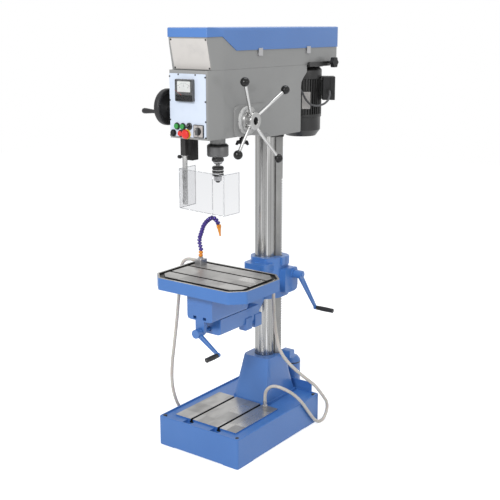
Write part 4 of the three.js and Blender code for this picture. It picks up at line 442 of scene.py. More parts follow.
# Moulded grain: the leathery matt skin of moulded plastic, with faint wear where hands and tools touch it.
moulded_grain, given, end = effect("moulded_grain", {"Place": ("Vector", None), "Colour": ("Color", None),
                                                     "Worn Colour": ("Color", None), "Gloss": ("Float", 0.4)},
                                   {"Colour": "Color", "Roughness": "Float", "Height": "Float"})
pores = build(moulded_grain, "ShaderNodeTexVoronoi", in_Vector=given["Place"],
              in_Scale=900).outputs["Distance"]
smudge = scaled_noise(moulded_grain, given["Place"], 22, 4, 0.6)
give(moulded_grain, end, Colour=blended(moulded_grain, between(moulded_grain, smudge, 0.45, 0.8),
                                        given["Colour"], given["Worn Colour"]),
     Roughness=maths(moulded_grain, "MULTIPLY_ADD", smudge, 0.2, given["Gloss"]), Height=pores)
print("effects:", [group.name for group in (enamel_skin, tool_marks, moulded_grain)])

# %% [markdown]
# A material here is one Principled shader fed by one effect, with a bump for the touch of the surface.
# Values that never vary, such as how metallic it is, are typed straight into the shader.

# %% Making materials
def shader(name, metallic=0.0, coat=0.0, **settings):
    """Starts a material: returns it, its tree, its shader and the object's own position."""
    material = bpy.data.materials.new(name)
    material.use_nodes = True
    tree = material.node_tree
    tree.nodes.clear()
    surface = build(tree, "ShaderNodeBsdfPrincipled", in_Metallic=metallic, in_Coat_Weight=coat, **settings)
    build(tree, "ShaderNodeOutputMaterial", in_Surface=surface.outputs[0])
    return material, tree, surface, build(tree, "ShaderNodeTexCoord").outputs["Object"]


def feed(tree, surface, **outlets):
    """Connects outlets to a shader's inputs."""
    for key, outlet in outlets.items():
        tree.links.new(outlet, surface.inputs[key.replace("_", " ")])


def bump(tree, height, depth):
    """The normal of a surface whose height is given, with its depth in metres."""
    return build(tree, "ShaderNodeBump", in_Height=height, in_Distance=depth).outputs[0]


def use_effect(tree, surface, group, depth, **values):
    """Places an effect in a material and feeds colour, roughness and bump from it."""
    made = build(tree, "ShaderNodeGroup", node_tree=group)
    for key, value in values.items():
        plug(tree, made.inputs[key.replace("_", " ")], value)
    feed(tree, surface, Base_Color=made.outputs["Colour"], Roughness=made.outputs["Roughness"],
         Normal=bump(tree, made.outputs["Height"], depth))


PAINT_DEPTH = 0.00025


def enamel(name, colour, deep, casting, coat):
    """Sprayed paint under a thin clear gloss."""
    material, tree, surface, place = shader(name, coat=coat, in_Coat_Roughness=0.12)
    use_effect(tree, surface, enamel_skin, PAINT_DEPTH, Place=place, Colour=colour, Deep_Colour=deep,
               Casting=casting)
    return material


def steel(name, bright, dark, stretch, smooth_value, depth=0.00006, metallic=1.0):
    """Bare metal with tool marks; stretch says how fine they are along each axis."""
    material, tree, surface, place = shader(name, metallic=metallic)
    use_effect(tree, surface, tool_marks, depth, Place=place, Stretch=stretch, Bright=bright, Dark=dark,
               Smooth=smooth_value)
    return material


def moulded(name, colour, worn, gloss=0.4, coat=0.0, depth=0.00008):
    """Moulded plastic, with its colour where hands have worn it."""
    material, tree, surface, place = shader(name, coat=coat, in_Coat_Roughness=0.08,
                                            in_Specular_IOR_Level=0.3)
    use_effect(tree, surface, moulded_grain, depth, Place=place, Colour=colour, Worn_Colour=worn, Gloss=gloss)
    return material


blue_paint, deep_blue, sand_cast = (0.056, 0.175, 0.470), (0.047, 0.155, 0.430), 0.9
blue_enamel = enamel("blue_enamel", blue_paint, deep_blue, sand_cast, 0.3)
blue_sheet = enamel("blue_sheet", (0.062, 0.182, 0.480), (0.054, 0.165, 0.445), 0.1, 0.4)
grey_enamel = enamel("grey_enamel", (0.262, 0.262, 0.255), (0.235, 0.236, 0.232), 0.15, 0.3)
black_enamel = enamel("black_enamel", (0.016, 0.015, 0.015), (0.010, 0.010, 0.010), 0.5, 0.02)
bright_steel = steel("bright_steel", (0.52, 0.52, 0.51), (0.30, 0.30, 0.31), (90, 90, 2600), 0.12)
turned_steel = steel("turned_steel", (0.40, 0.40, 0.40), (0.20, 0.20, 0.21), (60, 60, 3200), 0.2)
dark_steel = steel("dark_steel", (0.13, 0.13, 0.13), (0.055, 0.055, 0.057), (80, 80, 2200), 0.28)
rack_steel = steel("rack_steel", (0.36, 0.36, 0.35), (0.15, 0.15, 0.15), (500, 500, 900), 0.3)
polished_steel = steel("polished_steel", (0.60, 0.60, 0.59), (0.40, 0.40, 0.40), (700, 700, 700), 0.06,
                       0.00002)
zinc = steel("zinc", (0.52, 0.52, 0.53), (0.34, 0.34, 0.35), (300, 300, 300), 0.22)
screw_black = steel("screw_black", (0.014, 0.014, 0.015), (0.008, 0.008, 0.008), (400, 400, 400), 0.3,
                    metallic=0.0)
black_plastic = moulded("black_plastic", (0.010, 0.010, 0.011), (0.018, 0.018, 0.018), 0.42)
grip_plastic = moulded("grip_plastic", (0.020, 0.020, 0.021), (0.036, 0.036, 0.037), 0.38)
grey_plastic = moulded("grey_plastic", (0.10, 0.10, 0.10), (0.15, 0.15, 0.15), 0.36)
ball_gloss = moulded("ball_gloss", (0.006, 0.006, 0.006), (0.009, 0.009, 0.009), 0.10, 0.0, 0.00001)
red_plastic = moulded("red_plastic", (0.62, 0.020, 0.014), (0.70, 0.040, 0.030), 0.22, 0.3)
green_plastic = moulded("green_plastic", (0.025, 0.24, 0.045), (0.040, 0.32, 0.065), 0.22, 0.3)
yellow_plastic = moulded("yellow_plastic", (0.75, 0.50, 0.02), (0.80, 0.56, 0.04), 0.30)
purple_plastic = moulded("purple_plastic", (0.060, 0.035, 0.24), (0.085, 0.055, 0.30), 0.30, 0.2)
orange_plastic = moulded("orange_plastic", (0.78, 0.27, 0.022), (0.84, 0.34, 0.04), 0.30, 0.2)
plaque_white = moulded("plaque_white", (0.54, 0.515, 0.49), (0.48, 0.46, 0.44), 0.36)
panel_white = moulded("panel_white", (0.58, 0.64, 0.74), (0.54, 0.60, 0.70), 0.34)
dial_white = moulded("dial_white", (0.74, 0.74, 0.72), (0.68, 0.68, 0.66), 0.4)
rubber = moulded("rubber", (0.020, 0.020, 0.020), (0.030, 0.030, 0.030), 0.62)
conduit_vinyl = moulded("conduit_vinyl", (0.075, 0.075, 0.078), (0.11, 0.11, 0.115), 0.32, 0.1)
print("materials:", len(bpy.data.materials))

# %% [markdown]
# The coolant hose is soft clear vinyl with a braid of white threads in its wall. Each tube remembers where
# it is round and along itself, so two sets of slanting threads can cross as a real braid does.

# %% Braided hose
hose_vinyl, tree, surface, place = shader("hose_vinyl", coat=0.4, in_Coat_Roughness=0.15,
                                          in_Subsurface_Weight=0.1)
way = build(tree, "ShaderNodeAttribute", attribute_name="way")
parts = build(tree, "ShaderNodeSeparateXYZ", in_0=way.outputs["Vector"])
turn = maths(tree, "ARCTAN2", parts.outputs[1], parts.outputs[0])


def thread(sign):
    """One set of eight threads, wound one way round the hose, 22 mm to the turn."""
    wound = maths(tree, "MULTIPLY_ADD", turn, 8.0 * sign,
                  sum_up(tree, parts.outputs[2], 8 * 2 * math.pi / 0.022))
    return between(tree, maths(tree, "SINE", wound), 0.72, 0.95)


braid = maths(tree, "MAXIMUM", thread(1), thread(-1))
grime = between(tree, scaled_noise(tree, place, 9, 4, 0.6), 0.35, 0.75)
wall = blended(tree, grime, (0.52, 0.485, 0.43), (0.36, 0.33, 0.29))
feed(tree, surface, Base_Color=blended(tree, sum_up(tree, braid, 0.55), wall, (0.74, 0.72, 0.68)),
     Roughness=sum_up(tree, grime, 0.2, 0.26), Normal=bump(tree, braid, 0.0002))
print("hose material ready")

# %% [markdown]
# Coolant goes up one hose to the nozzle and drains back down another into the base. Both hoses hang between
# the base and a table that moves, so each is made in two parts, a lower and an upper one. The split is half
# way down a straight run, where nobody sees it.

# %% Coolant hoses and motor conduit
HOSE_WIDTH = 16
FLOOR_GAP = 0.4
ROUTE_STEPS = 240


def quarter_turn(centre, first, last):
    """Five points of a quarter bend, from centre + first to centre + last, in millimetres."""
    points = []
    for k in range(5):
        turn = math.pi / 8 * k
        cosine, sine = math.cos(turn), math.sin(turn)
        points.append(tuple(c + f * cosine + g * sine for c, f, g in zip(centre, first, last)))
    return points


supply_lower = [(-44.3, 402, 200), (-70, 402, 200), (-128, 401, 186), (-190, 388, 140), (-238, 352, 82),
                (-262, 296, 32), (-268, 220, 10.5), (-263, 130, 8), (-258, 40, 9), (-256, -40, 25),
                (-257, -110, 66), (-261, -165, 128), (-267, -192, 200), (-273, -199, 270), (-281, -186, 350),
                (-290, -158, 440), (-302, -122, 550)]
supply_upper = [(-302, -122, 550), (-313, -90, 670), (-323, -64, 745),
                *quarter_turn((-268, -53, 794), (-58, 0, 0), (0, 0, 58)), (-262.5, -53, 852),
                (-241, -53, 852), (-216.3, -53, 852)]
drain_upper = [(43, 24, 795), (43, 30, 795), *quarter_turn((83, 30, 795), (-40, 0, 0), (0, 40, 0)),
               (91, 70, 795), *quarter_turn((97, 70, 753), (0, 0, 42), (42, 0, 0)), (139.5, 70, 715),
               (140, 71, 680), (141, 73, 640), (143, 75, 590)]
drain_lower = [(143, 75, 590), (148, 77, 540), (157, 77, 495), (166, 81, 452), (181, 93, 411),
               (201, 114, 370), (219, 143, 333), (236, 178, 296), (248, 222, 257), (255, 272, 214),
               (257, 318, 166), (257.5, 356, 123), (257.4, 380, 92),
               *quarter_turn((256.5, 328, 66), (0, 59, 0), (0, 0, -59)), (253, 302, 13), (250.5, 272, 36),
               (248, 244, 68), (247, 210, 108), (246, 172, 152), (242, 134, 192), (234, 102, 222),
               (220, 76, 244), (200, 59, 258), *quarter_turn((172, 51.6, 205), (0, 0, 58), (-58, -10.6, 0)),
               (114, 41, 177.3)]


def split_route(lower, upper):
    """Both halves of a hose as one smooth curve, cut at the point they share."""
    whole, length = spline_points(lower + upper[1:], ROUTE_STEPS)
    shared = Vector(lower[-1])
    cut = min(range(len(whole)), key=lambda i: (whole[i] - shared).length)
    return whole[:cut + 1], whole[cut:], length


def hose(name, line, diameter, look, body, steps, sides=16):
    """A hose along a line of machine points; it prints its real length."""
    lowest = diameter / 2 + FLOOR_GAP
    route = [at(x, y, max(z, lowest)) for x, y, z in line]
    piece, path, length = swept_tube(name, route, diameter / 2 * MM, look, body, steps, sides)
    print(name, "length", round(length, 3), "m")
    return piece


supply_a, supply_b, supply_length = split_route(supply_lower, supply_upper)
drain_a, drain_b, drain_length = split_route(list(reversed(drain_lower)), list(reversed(drain_upper)))
supply_hose_low = hose("supply_hose_low", supply_a, HOSE_WIDTH, hose_vinyl, None, 110)
supply_hose_high = hose("supply_hose_high", supply_b, HOSE_WIDTH, hose_vinyl, None, 40)
drain_hose_low = hose("drain_hose_low", drain_a, HOSE_WIDTH, hose_vinyl, None, 110)
drain_hose_high = hose("drain_hose_high", drain_b, HOSE_WIDTH, hose_vinyl, None, 30)
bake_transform(supply_hose_low)
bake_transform(supply_hose_high)
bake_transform(drain_hose_low)
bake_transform(drain_hose_high)
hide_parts("supply_hose")
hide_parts("supply_hose_top")
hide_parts("drain_hose")
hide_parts("drain_hose_top")

gland_out, gland_side = Vector((0.5878, -0.8090, 0)), Vector((0.8090, 0.5878, 0))
gland_tip = Vector((149.31, 521.10, 1642))
conduit_loop = [(0, 0, 0), (12, 0, 0), (30, 0, -4), (45, -1, -18), (51, -8, -38), (52, -26, -56),
                (52, -54, -65)]
conduit_line = [tuple(gland_tip + gland_out * out + gland_side * side + Vector((0, 0, up)))
                for out, side, up in conduit_loop]
conduit_line += [(122, 438, 1576), (103, 425, 1583), (90, 411, 1601), (84, 400, 1619), (81, 391, 1636),
                 (79, 381, 1648), (78, 369, 1655), (78, 354, 1657), (78, 336, 1657), (78, 314, 1657)]
motor_lead = hose("motor_lead", conduit_line, 10, conduit_vinyl, "motor", 70, 14)
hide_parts("motor_conduit")
print("hoses:", round(supply_length), "and", round(drain_length), "mm in all")

# %% [markdown]
# The big castings come in with the right shape but with knife-sharp edges, which no
# casting has. A chain of modifiers mends that without touching the mesh: weld, round
# the edges, then shade only the roundings smooth.

# %% Rounding the castings
crisp_shading = bpy.data.node_groups.new("crisp_shading", "GeometryNodeTree")
crisp_shading.interface.new_socket("Geometry", in_out="INPUT", socket_type="NodeSocketGeometry")
crisp_shading.interface.new_socket("Geometry", in_out="OUTPUT", socket_type="NodeSocketGeometry")
edge_angle = build(crisp_shading, "GeometryNodeInputMeshEdgeAngle")
steep = build(crisp_shading, "FunctionNodeCompare", operation="GREATER_THAN",
              in_0=edge_angle.outputs["Unsigned Angle"], in_1=math.radians(31))
every_face = build(crisp_shading, "GeometryNodeSetShadeSmooth",
                   in_0=build(crisp_shading, "NodeGroupInput").outputs[0])
sharp_edges = build(crisp_shading, "GeometryNodeSetShadeSmooth", domain="EDGE", in_0=every_face.outputs[0],
                    in_1=steep.outputs[0], in_2=False)
build(crisp_shading, "NodeGroupOutput", in_0=sharp_edges.outputs[0])


def dress(part, look):
    """Gives a ready-made part its material."""
    if not part.material_slots:
        part.data.materials.append(look)
    for slot in part.material_slots:
        slot.link = "OBJECT"
        slot.material = look


def finish_casting(node, look, rounding):
    """Dresses a ready-made part and rounds its edges by so many millimetres."""
    part = nodes[node]
    dress(part, look)
    weld = part.modifiers.new("weld", "WELD")
    weld.merge_threshold = 0.00002
    bevel = part.modifiers.new("rounding", "BEVEL")
    bevel.width = rounding * MM
    bevel.segments = 2
    bevel.limit_method = "ANGLE"
    bevel.angle_limit = math.radians(32)
    bevel.use_clamp_overlap = True
    shade = part.modifiers.new("shading", "NODES")
    shade.node_group = crisp_shading
    weighted = part.modifiers.new("weighting", "WEIGHTED_NORMAL")
    weighted.keep_sharp = True
    return part


for node in ("column_pedestal", "knee_casting", "table_saddle", "lift_crank", "cross_crank"):
    finish_casting(node, blue_enamel, 2.2 if node != "cross_crank" else 1.2)
plain_castings = (("belt_lid", blue_sheet, 1.6), ("belt_housing", grey_enamel, 1.2),
                  ("head_casting", grey_enamel, 2.0), ("motor_plate", black_enamel, 1.0),
                  ("terminal_box", black_plastic, 2.0), ("guard_post", black_enamel, 0.8),
                  ("guard_switch_box", black_plastic, 1.5), ("quill_lock_knob", black_plastic, 1.5),
                  ("motor_lock_knob", black_plastic, 2.0), ("lid_latch_front", zinc, 0.8),
                  ("lid_latch_rear", zinc, 0.8), ("coolant_stand", zinc, 1.0),
                  ("lift_pinion", rack_steel, 0.3), ("drive_belt", rubber, 0.6),
                  ("rack_clip", black_enamel, 0.6))
for node, look, rounding in plain_castings:
    finish_casting(node, look, rounding)
print("castings finished:", sum(1 for part in nodes.values() if part.modifiers))

# %% [markdown]
# The base and the table are cast, enamelled, and then milled on top, so one casting shows
# two finishes. The material reads where each point is: bare milled iron inside the work
# area, enamel everywhere else. A milling cutter leaves bands that catch the light
# differently, so the iron is shaded in blocks with fine scratches.

# %% Milled tops
def region(tree, place, x0, x1, y0, y1, z0, z1):
    """1 inside a box given in machine millimetres, 0 outside."""
    middle = at((x0 + x1) / 2, (y0 + y1) / 2, (z0 + z1) / 2)
    shifted = vector_maths(tree, "SUBTRACT", place, tuple(middle))
    size = ((x1 - x0) / 2000, (y1 - y0) / 2000, (z1 - z0) / 2000)
    share = vector_maths(tree, "DIVIDE", shifted, size)
    away = vector_maths(tree, "ABSOLUTE", share)
    parts = build(tree, "ShaderNodeSeparateXYZ", in_0=away)
    worst = maths(tree, "MAXIMUM", parts.outputs[0], parts.outputs[1])
    worst = maths(tree, "MAXIMUM", worst, parts.outputs[2])
    return maths(tree, "LESS_THAN", worst, 1.0)


milled_iron, given, end = effect(
    "milled_iron",
    {"Place": ("Vector", None), "Block": ("Vector", (20, 12, 0)), "Scratch": ("Vector", (40, 3000, 40))},
    {"Colour": "Color", "Roughness": "Float", "Height": "Float"})
blocks = vector_maths(milled_iron, "MULTIPLY", given["Place"], given["Block"])
shake = build(milled_iron, "ShaderNodeTexNoise", in_Vector=given["Place"], in_Scale=16, in_Detail=1)
wobble = vector_maths(milled_iron, "MULTIPLY_ADD", shake.outputs["Color"], (0.25, 0.25, 0), blocks)
cells = vector_maths(milled_iron, "FLOOR", wobble)
pick = build(milled_iron, "ShaderNodeTexWhiteNoise", noise_dimensions="2D", in_Vector=cells).outputs["Value"]
soft = scaled_noise(milled_iron, wobble, 1.1, 1)
cut_lines = vector_maths(milled_iron, "MULTIPLY", given["Place"], given["Scratch"])
fine = scaled_noise(milled_iron, cut_lines, 1.0, 4, 0.7)
shade_of = maths(milled_iron, "MULTIPLY_ADD", pick, 0.5, sum_up(milled_iron, soft, 0.7, -0.12))
mark = maths(milled_iron, "MULTIPLY_ADD", fine, 0.28, sum_up(milled_iron, shade_of, 1.0, -0.14))
give(milled_iron, end, Colour=blended(milled_iron, mark, (0.56, 0.55, 0.53), (0.20, 0.195, 0.19)),
     Roughness=sum_up(milled_iron, pick, 0.18, 0.24), Height=fine)


def milled_casting(name, iron_mask, shade_mask, block, scratch):
    """Blue enamel with milled iron where one mask says so and near-black painted shade where the other does.
    """
    material, tree, surface, place = shader(name, in_Coat_Roughness=0.12)
    paint = build(tree, "ShaderNodeGroup", node_tree=enamel_skin, in_Place=place, in_Colour=blue_paint,
                  in_Deep_Colour=deep_blue, in_Casting=sand_cast)
    iron = build(tree, "ShaderNodeGroup", node_tree=milled_iron, in_Place=place, in_Block=block,
                 in_Scratch=scratch)
    bare, dark = iron_mask(tree, place), shade_mask(tree, place)
    colour = blended(tree, bare, paint.outputs["Colour"], iron.outputs["Colour"])
    # Painted shade: the recesses that the second mask picks out are turned near black.
    black = blended(tree, dark, colour, (0.012, 0.011, 0.010))
    rough = build(tree, "ShaderNodeMix", data_type="FLOAT", in_0=bare, in_2=paint.outputs["Roughness"],
                  in_3=iron.outputs["Roughness"]).outputs[0]
    metal = build(tree, "ShaderNodeMath", operation="SUBTRACT", use_clamp=True, in_0=sum_up(tree, bare, 0.75),
                  in_1=dark).outputs[0]
    lift = build(tree, "ShaderNodeMix", data_type="FLOAT", in_0=bare, in_2=paint.outputs["Height"],
                 in_3=sum_up(tree, iron.outputs["Height"], 0.3)).outputs[0]
    feed(tree, surface, Base_Color=black, Roughness=maths(tree, "MAXIMUM", rough, sum_up(tree, dark, 0.45)),
         Metallic=metal, Normal=bump(tree, lift, PAINT_DEPTH))
    return material


def base_iron(tree, place):
    """The milled plate on the base."""
    return region(tree, place, -180, 180, -284, 57, 145.9, 148)


def base_slot_shade(tree, place):
    """The insides of the base's two T-slots, darkened with painted shade."""
    left = region(tree, place, -94, -68, -283, 56, 100, 145.6)
    right = region(tree, place, 68, 94, -283, 56, 100, 145.6)
    return maths(tree, "MAXIMUM", left, right)


table_low, table_high = span("work_table")
table_top = table_high.z
table_half, table_rear, table_rim, corner_rim = 260, 5.7, 9.5, 13
front_corner, rear_corner = 60, 24


def table_iron(tree, place):
    """Everything at the level of the table's face."""
    return region(tree, place, -400, 400, -500, 200, table_top - 0.8, table_top + 1)


def table_recess_shade(tree, place):
    """The coolant channel round the plate and the two T-slots, darkened with painted shade, cut off at the
    corners.
    """
    inside = region(tree, place, table_rim - table_half, table_half - table_rim, table_low.y + table_rim,
                    table_rear - table_rim, table_top - 22, table_top - 0.4)
    parts = build(tree, "ShaderNodeSeparateXYZ", in_0=place)
    wide = maths(tree, "ABSOLUTE", sum_up(tree, parts.outputs[0], 1.0, -at(0, 0, 0).x))
    to_front = maths(tree, "SUBTRACT", sum_up(tree, parts.outputs[1], 1.0), wide)
    to_rear = maths(tree, "ADD", sum_up(tree, parts.outputs[1], 1.0), wide)
    front_line = at(0, table_low.y - table_half + front_corner + corner_rim, 0).y
    rear_line = at(0, table_rear + table_half - rear_corner - corner_rim, 0).y
    front = maths(tree, "GREATER_THAN", to_front, front_line)
    rear = maths(tree, "LESS_THAN", to_rear, rear_line)
    return maths(tree, "MULTIPLY", inside, maths(tree, "MULTIPLY", front, rear))


base_finish = milled_casting("base_finish", base_iron, base_slot_shade, (17, 9.5, 0), (40, 2600, 40))
table_finish = milled_casting("table_finish", table_iron, table_recess_shade, (9, 14, 0), (2600, 40, 40))
finish_casting("base_casting", base_finish, 2.2)
finish_casting("work_table", table_finish, 1.0)
print("table top at", round(table_top, 1), "mm")

# %% [markdown]
# The column is a ground and polished tube. Its shine shows as long bands, because
# the studio is bright in some directions and dark in others; a little of that
# banding is drawn round the tube by angle, the rest is reflection.

# %% Column and rack
column_low, column_high = span("column")
column_mid = (column_low + column_high) / 2
column_steel, tree, surface, place = shader("column_steel", metallic=1.0)
seat = vector_maths(tree, "SUBTRACT", place, tuple(at(column_mid.x, column_mid.y, 0)))
parts = build(tree, "ShaderNodeSeparateXYZ", in_0=seat)
turn = maths(tree, "ARCTAN2", parts.outputs[1], parts.outputs[0])
ring = build(tree, "ShaderNodeCombineXYZ", in_0=maths(tree, "COSINE", turn), in_1=maths(tree, "SINE", turn),
             in_2=sum_up(tree, parts.outputs[2], 0.02)).outputs[0]
bands = scaled_noise(tree, ring, 5.2, 2, 0.55)
hair = scaled_noise(tree, ring, 70, 3, 0.6, (1, 1, 30))
ramp = build(tree, "ShaderNodeValToRGB", in_0=bands)
for position, tone in ((0.0, 0.06), (0.38, 0.36), (0.46, 0.36), (0.52, 0.16), (0.60, 0.62)):
    stops = ramp.color_ramp.elements
    stop = stops[0] if position == 0 else stops.new(position)
    stop.color = (tone, tone, tone * 0.99, 1)
feed(tree, surface, Base_Color=blended(tree, sum_up(tree, hair, 0.3), ramp.outputs[0], (0.30, 0.30, 0.29)),
     Roughness=sum_up(tree, hair, 0.18, 0.16), Normal=bump(tree, hair, 0.00002))
column_tube = turned_piece("column_tube", sleeve(0, 50, column_low.z, column_high.z),
                           at(column_mid.x, column_mid.y, 0), UP, column_steel, "frame", 96)
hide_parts("column")
finish_casting("column_rack", rack_steel, 0.4)
print("column from", round(column_low.z), "to", round(column_high.z), "mm")

# %% [markdown]
# Quill, spindle and chuck are turned and ground parts, so each is one lathe profile
# with small chamfers. A profile is a list of radius and height pairs; scallops cut
# the grip ribs into the collar and the chuck sleeve.

# %% Quill, spindle and chuck
QUILL_Y = -170
quill_low, quill_high = span("quill")
quill_axis = at(0, QUILL_Y, 0)
ribbed_steel = steel("ribbed_steel", (0.19, 0.19, 0.19), (0.09, 0.09, 0.093), (60, 60, 2600), 0.26)


def ribs(count, depth, low, high):
    """A scallop for the lathe: grooves of a given depth, only between two heights."""
    def reach(radius, height, turn):
        return radius - (depth * (0.5 + 0.5 * math.cos(count * turn)) ** 3 if low < height < high else 0)
    return reach


quill_sleeve = turned_piece("quill_sleeve", [(0, 1354), (14.5, 1354), (17, 1355), (24, 1366.5), (24, 1389),
                                             (30, 1389), (30, 1711), (24, 1711), (0, 1711)], quill_axis, UP,
                            turned_steel, "quill_body")
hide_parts("quill")
turned_piece("quill_collar", [(20, 1389), (44.5, 1389), (48.2, 1394), (48.2, 1433.5), (46.5, 1435),
                              (30, 1435)], quill_axis, UP, ribbed_steel, "quill_body", 96, 0.6)
turned_piece("quill_collar_ring", [(30, 1435), (48.4, 1435), (48.4, 1438), (40, 1445), (30, 1445)],
             quill_axis, UP, black_enamel, "quill_body", 96, 0.5)
turned_piece("quill_nose_ring", [(14.6, 1367), (26, 1367), (27.5, 1369), (27.5, 1379), (24.5, 1380),
                                 (24.5, 1384), (27.5, 1385), (27.5, 1388.9), (20, 1388.9)], quill_axis, UP,
             screw_black, "quill_body", 72, 0.5)
spindle_high = span("spindle")[1]
splined = ribs(6, 2.6, 1712, spindle_high.z - 4)
spindle_shaft = turned_piece("spindle_shaft", [(0, 1325), (6.8, 1325), (6.8, 1347), (9.5, 1349), (9.5, 1352),
                                               (14, 1356.5), (14, 1711), (14, 1714), (14, 1760), (14, 1800),
                                               (14, 1850), (14, spindle_high.z - 5), (14, spindle_high.z - 2),
                                               (12, spindle_high.z), (0, spindle_high.z)], quill_axis, UP,
                             polished_steel, "spindle_body", 72, 0.4, splined)
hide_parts("spindle")
chuck_body = turned_piece("chuck_body", [(0, 1271), (7, 1271), (10, 1274.5), (12.2, 1279), (12.2, 1301.6),
                                         (24, 1301.8), (26.4, 1303.6), (26.4, 1310), (25, 1311.4),
                                         (23.4, 1312), (23.4, 1316.5), (26.4, 1317.4), (26.4, 1324),
                                         (23.4, 1325), (23.4, 1330.4), (26.4, 1331.4), (26.4, 1340),
                                         (22, 1344.8), (8, 1344.9), (7.2, 1344.9), (7.2, 1324), (0, 1324)],
                          quill_axis, UP, screw_black, "spindle_body", 80, 0.5)
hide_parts("drill_chuck")
BAND_HALF = 1.6
for index, height in enumerate((1314.2, 1327.7)):
    turned_piece(f"chuck_band_{index + 1}", sleeve(20, 24.6, height - BAND_HALF, height + BAND_HALF),
                 quill_axis, UP, polished_steel, "spindle_body", 64, 0.3)
sleeve_low, sleeve_high = span("chuck_sleeve")
chuck_grip = turned_piece("chuck_grip", [(12.6, sleeve_low.z), (15.2, sleeve_low.z),
                                         (17.4, sleeve_low.z + 2.5), (17.4, sleeve_low.z + 6),
                                         (17.4, sleeve_high.z - 5), (17.4, sleeve_high.z - 1.5),
                                         (16, sleeve_high.z), (12.6, sleeve_high.z)], quill_axis, UP, zinc,
                          "chuck_collar", 96, 0.5, ribs(24, 0.7, sleeve_low.z + 4, sleeve_high.z - 3))
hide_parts("chuck_sleeve")
print("quill from", round(quill_low.z), "to", round(quill_high.z), "mm")

# %% [markdown]
# Small flat parts are cut from sheet or moulded, so they are outlines pushed to a thickness, with a small
# chamfer. Screws, knobs and knurls come in sets, so many small turned parts are gathered into one piece.

# %% Slabs, sets of screws and lettering
def slab(name, outline, depth, placed, look, body, chamfer=0.6):
    """An outline of (x, y) millimetres with depth along the frame's z axis, chamfered at its front edge."""
    middle = sum((Vector(p) for p in outline), Vector((0, 0))) / len(outline)
    reach = max((Vector(p) - middle).length for p in outline)
    levels = [(0, 0), (depth - chamfer, 0), (depth, chamfer)]
    vertices, rows = [], []
    for height, inset in levels:
        row = []
        for corner in outline:
            shrunk = middle + (Vector(corner) - middle) * (1 - inset / reach)
            row.append(len(vertices))
            vertices.append(on_frame(placed, shrunk.x, shrunk.y, height))
        rows.append(row)
    count = len(outline)
    faces = [tuple(reversed(rows[0])), tuple(rows[-1])]
    for lower, upper in zip(rows, rows[1:]):
        faces += [(lower[k], lower[(k + 1) % count], upper[(k + 1) % count], upper[k]) for k in range(count)]
    piece = new_piece(name, vertices, faces, look, body)
    tidy_normals(piece)
    smooth(piece, 30)
    return piece


def rounded_rectangle(x0, x1, y0, y1, radius, steps=5):
    """The outline of a rectangle with round corners."""
    corners = ((x1 - radius, y1 - radius, 0), (x0 + radius, y1 - radius, 1), (x0 + radius, y0 + radius, 2),
               (x1 - radius, y0 + radius, 3))
    return [(x + radius * math.cos(math.pi / 2 * (q + i / steps)),
             y + radius * math.sin(math.pi / 2 * (q + i / steps))) for x, y, q in corners
            for i in range(steps + 1)]


def gathered(name, pieces, look, body):
    """Several loose pieces as one that rides on a body."""
    vertices, faces = [], []
    for piece in pieces:
        first = len(vertices)
        vertices += [v.co.copy() for v in piece.data.vertices]
        faces += [tuple(first + i for i in f.vertices) for f in piece.data.polygons]
        bpy.data.objects.remove(piece)
    made = new_piece(name, vertices, faces, look, body)
    smooth(made, 35)
    return made


def screws(name, spots, along, radius, height, look, body):
    """Cap screws with a hexagon socket, one piece for the whole set; spots are machine millimetres."""
    heads = []
    for spot in spots:
        socket = radius * 0.5
        profile = [(0, height * 0.35), (socket, height * 0.35), (socket, height), (radius - 0.4, height),
                   (radius, height - 0.5), (radius, -0.5)]
        heads.append(turned_piece(name + "_head", profile, at(*spot), along, look, None, 18, 0.3))
    return gathered(name, heads, look, body)


def letters(name, text, size, placed, look, body, turn=0.0):
    """Printed characters as thin raised shapes, centred on the frame."""
    curve = bpy.data.curves.new(name, "FONT")
    curve.body = text
    curve.size = size * MM
    curve.align_x = "CENTER"
    curve.align_y = "CENTER"
    curve.extrude = 0.15 * MM
    holder = bpy.data.objects.new(name, curve)
    scene.collection.objects.link(holder)
    bpy.context.view_layer.update()
    shape = bpy.data.meshes.new_from_object(holder)
    spin = Matrix.Rotation(turn, 4, "Z")
    vertices = [placed @ spin @ v.co for v in shape.vertices]
    faces = [tuple(f.vertices) for f in shape.polygons]
    bpy.data.objects.remove(holder)
    return new_piece(name, vertices, faces, look, body)


def rod_between(name, start, finish, radius, look, body, sides=24, edge=0.6):
    """A round bar from one machine point to another."""
    start, finish = at(*start), at(*finish)
    length = (finish - start).length / MM
    return turned_piece(name, sleeve(0, radius, 0, length), start, finish - start,
                        look, body, sides, edge)


ink = moulded("ink", (0.02, 0.02, 0.025), (0.03, 0.03, 0.035), 0.45)
print("helpers ready")

# %% [markdown]
# The feed shaft carries a graduated dial, a polished hub and four levers with ball knobs. Hub and ring are
# turned; the levers are bright bar screwed in at a slant, so the knobs stand clear of the casting. The
# dial's hundred marks are a pattern in the material, since each is only a hair wide.

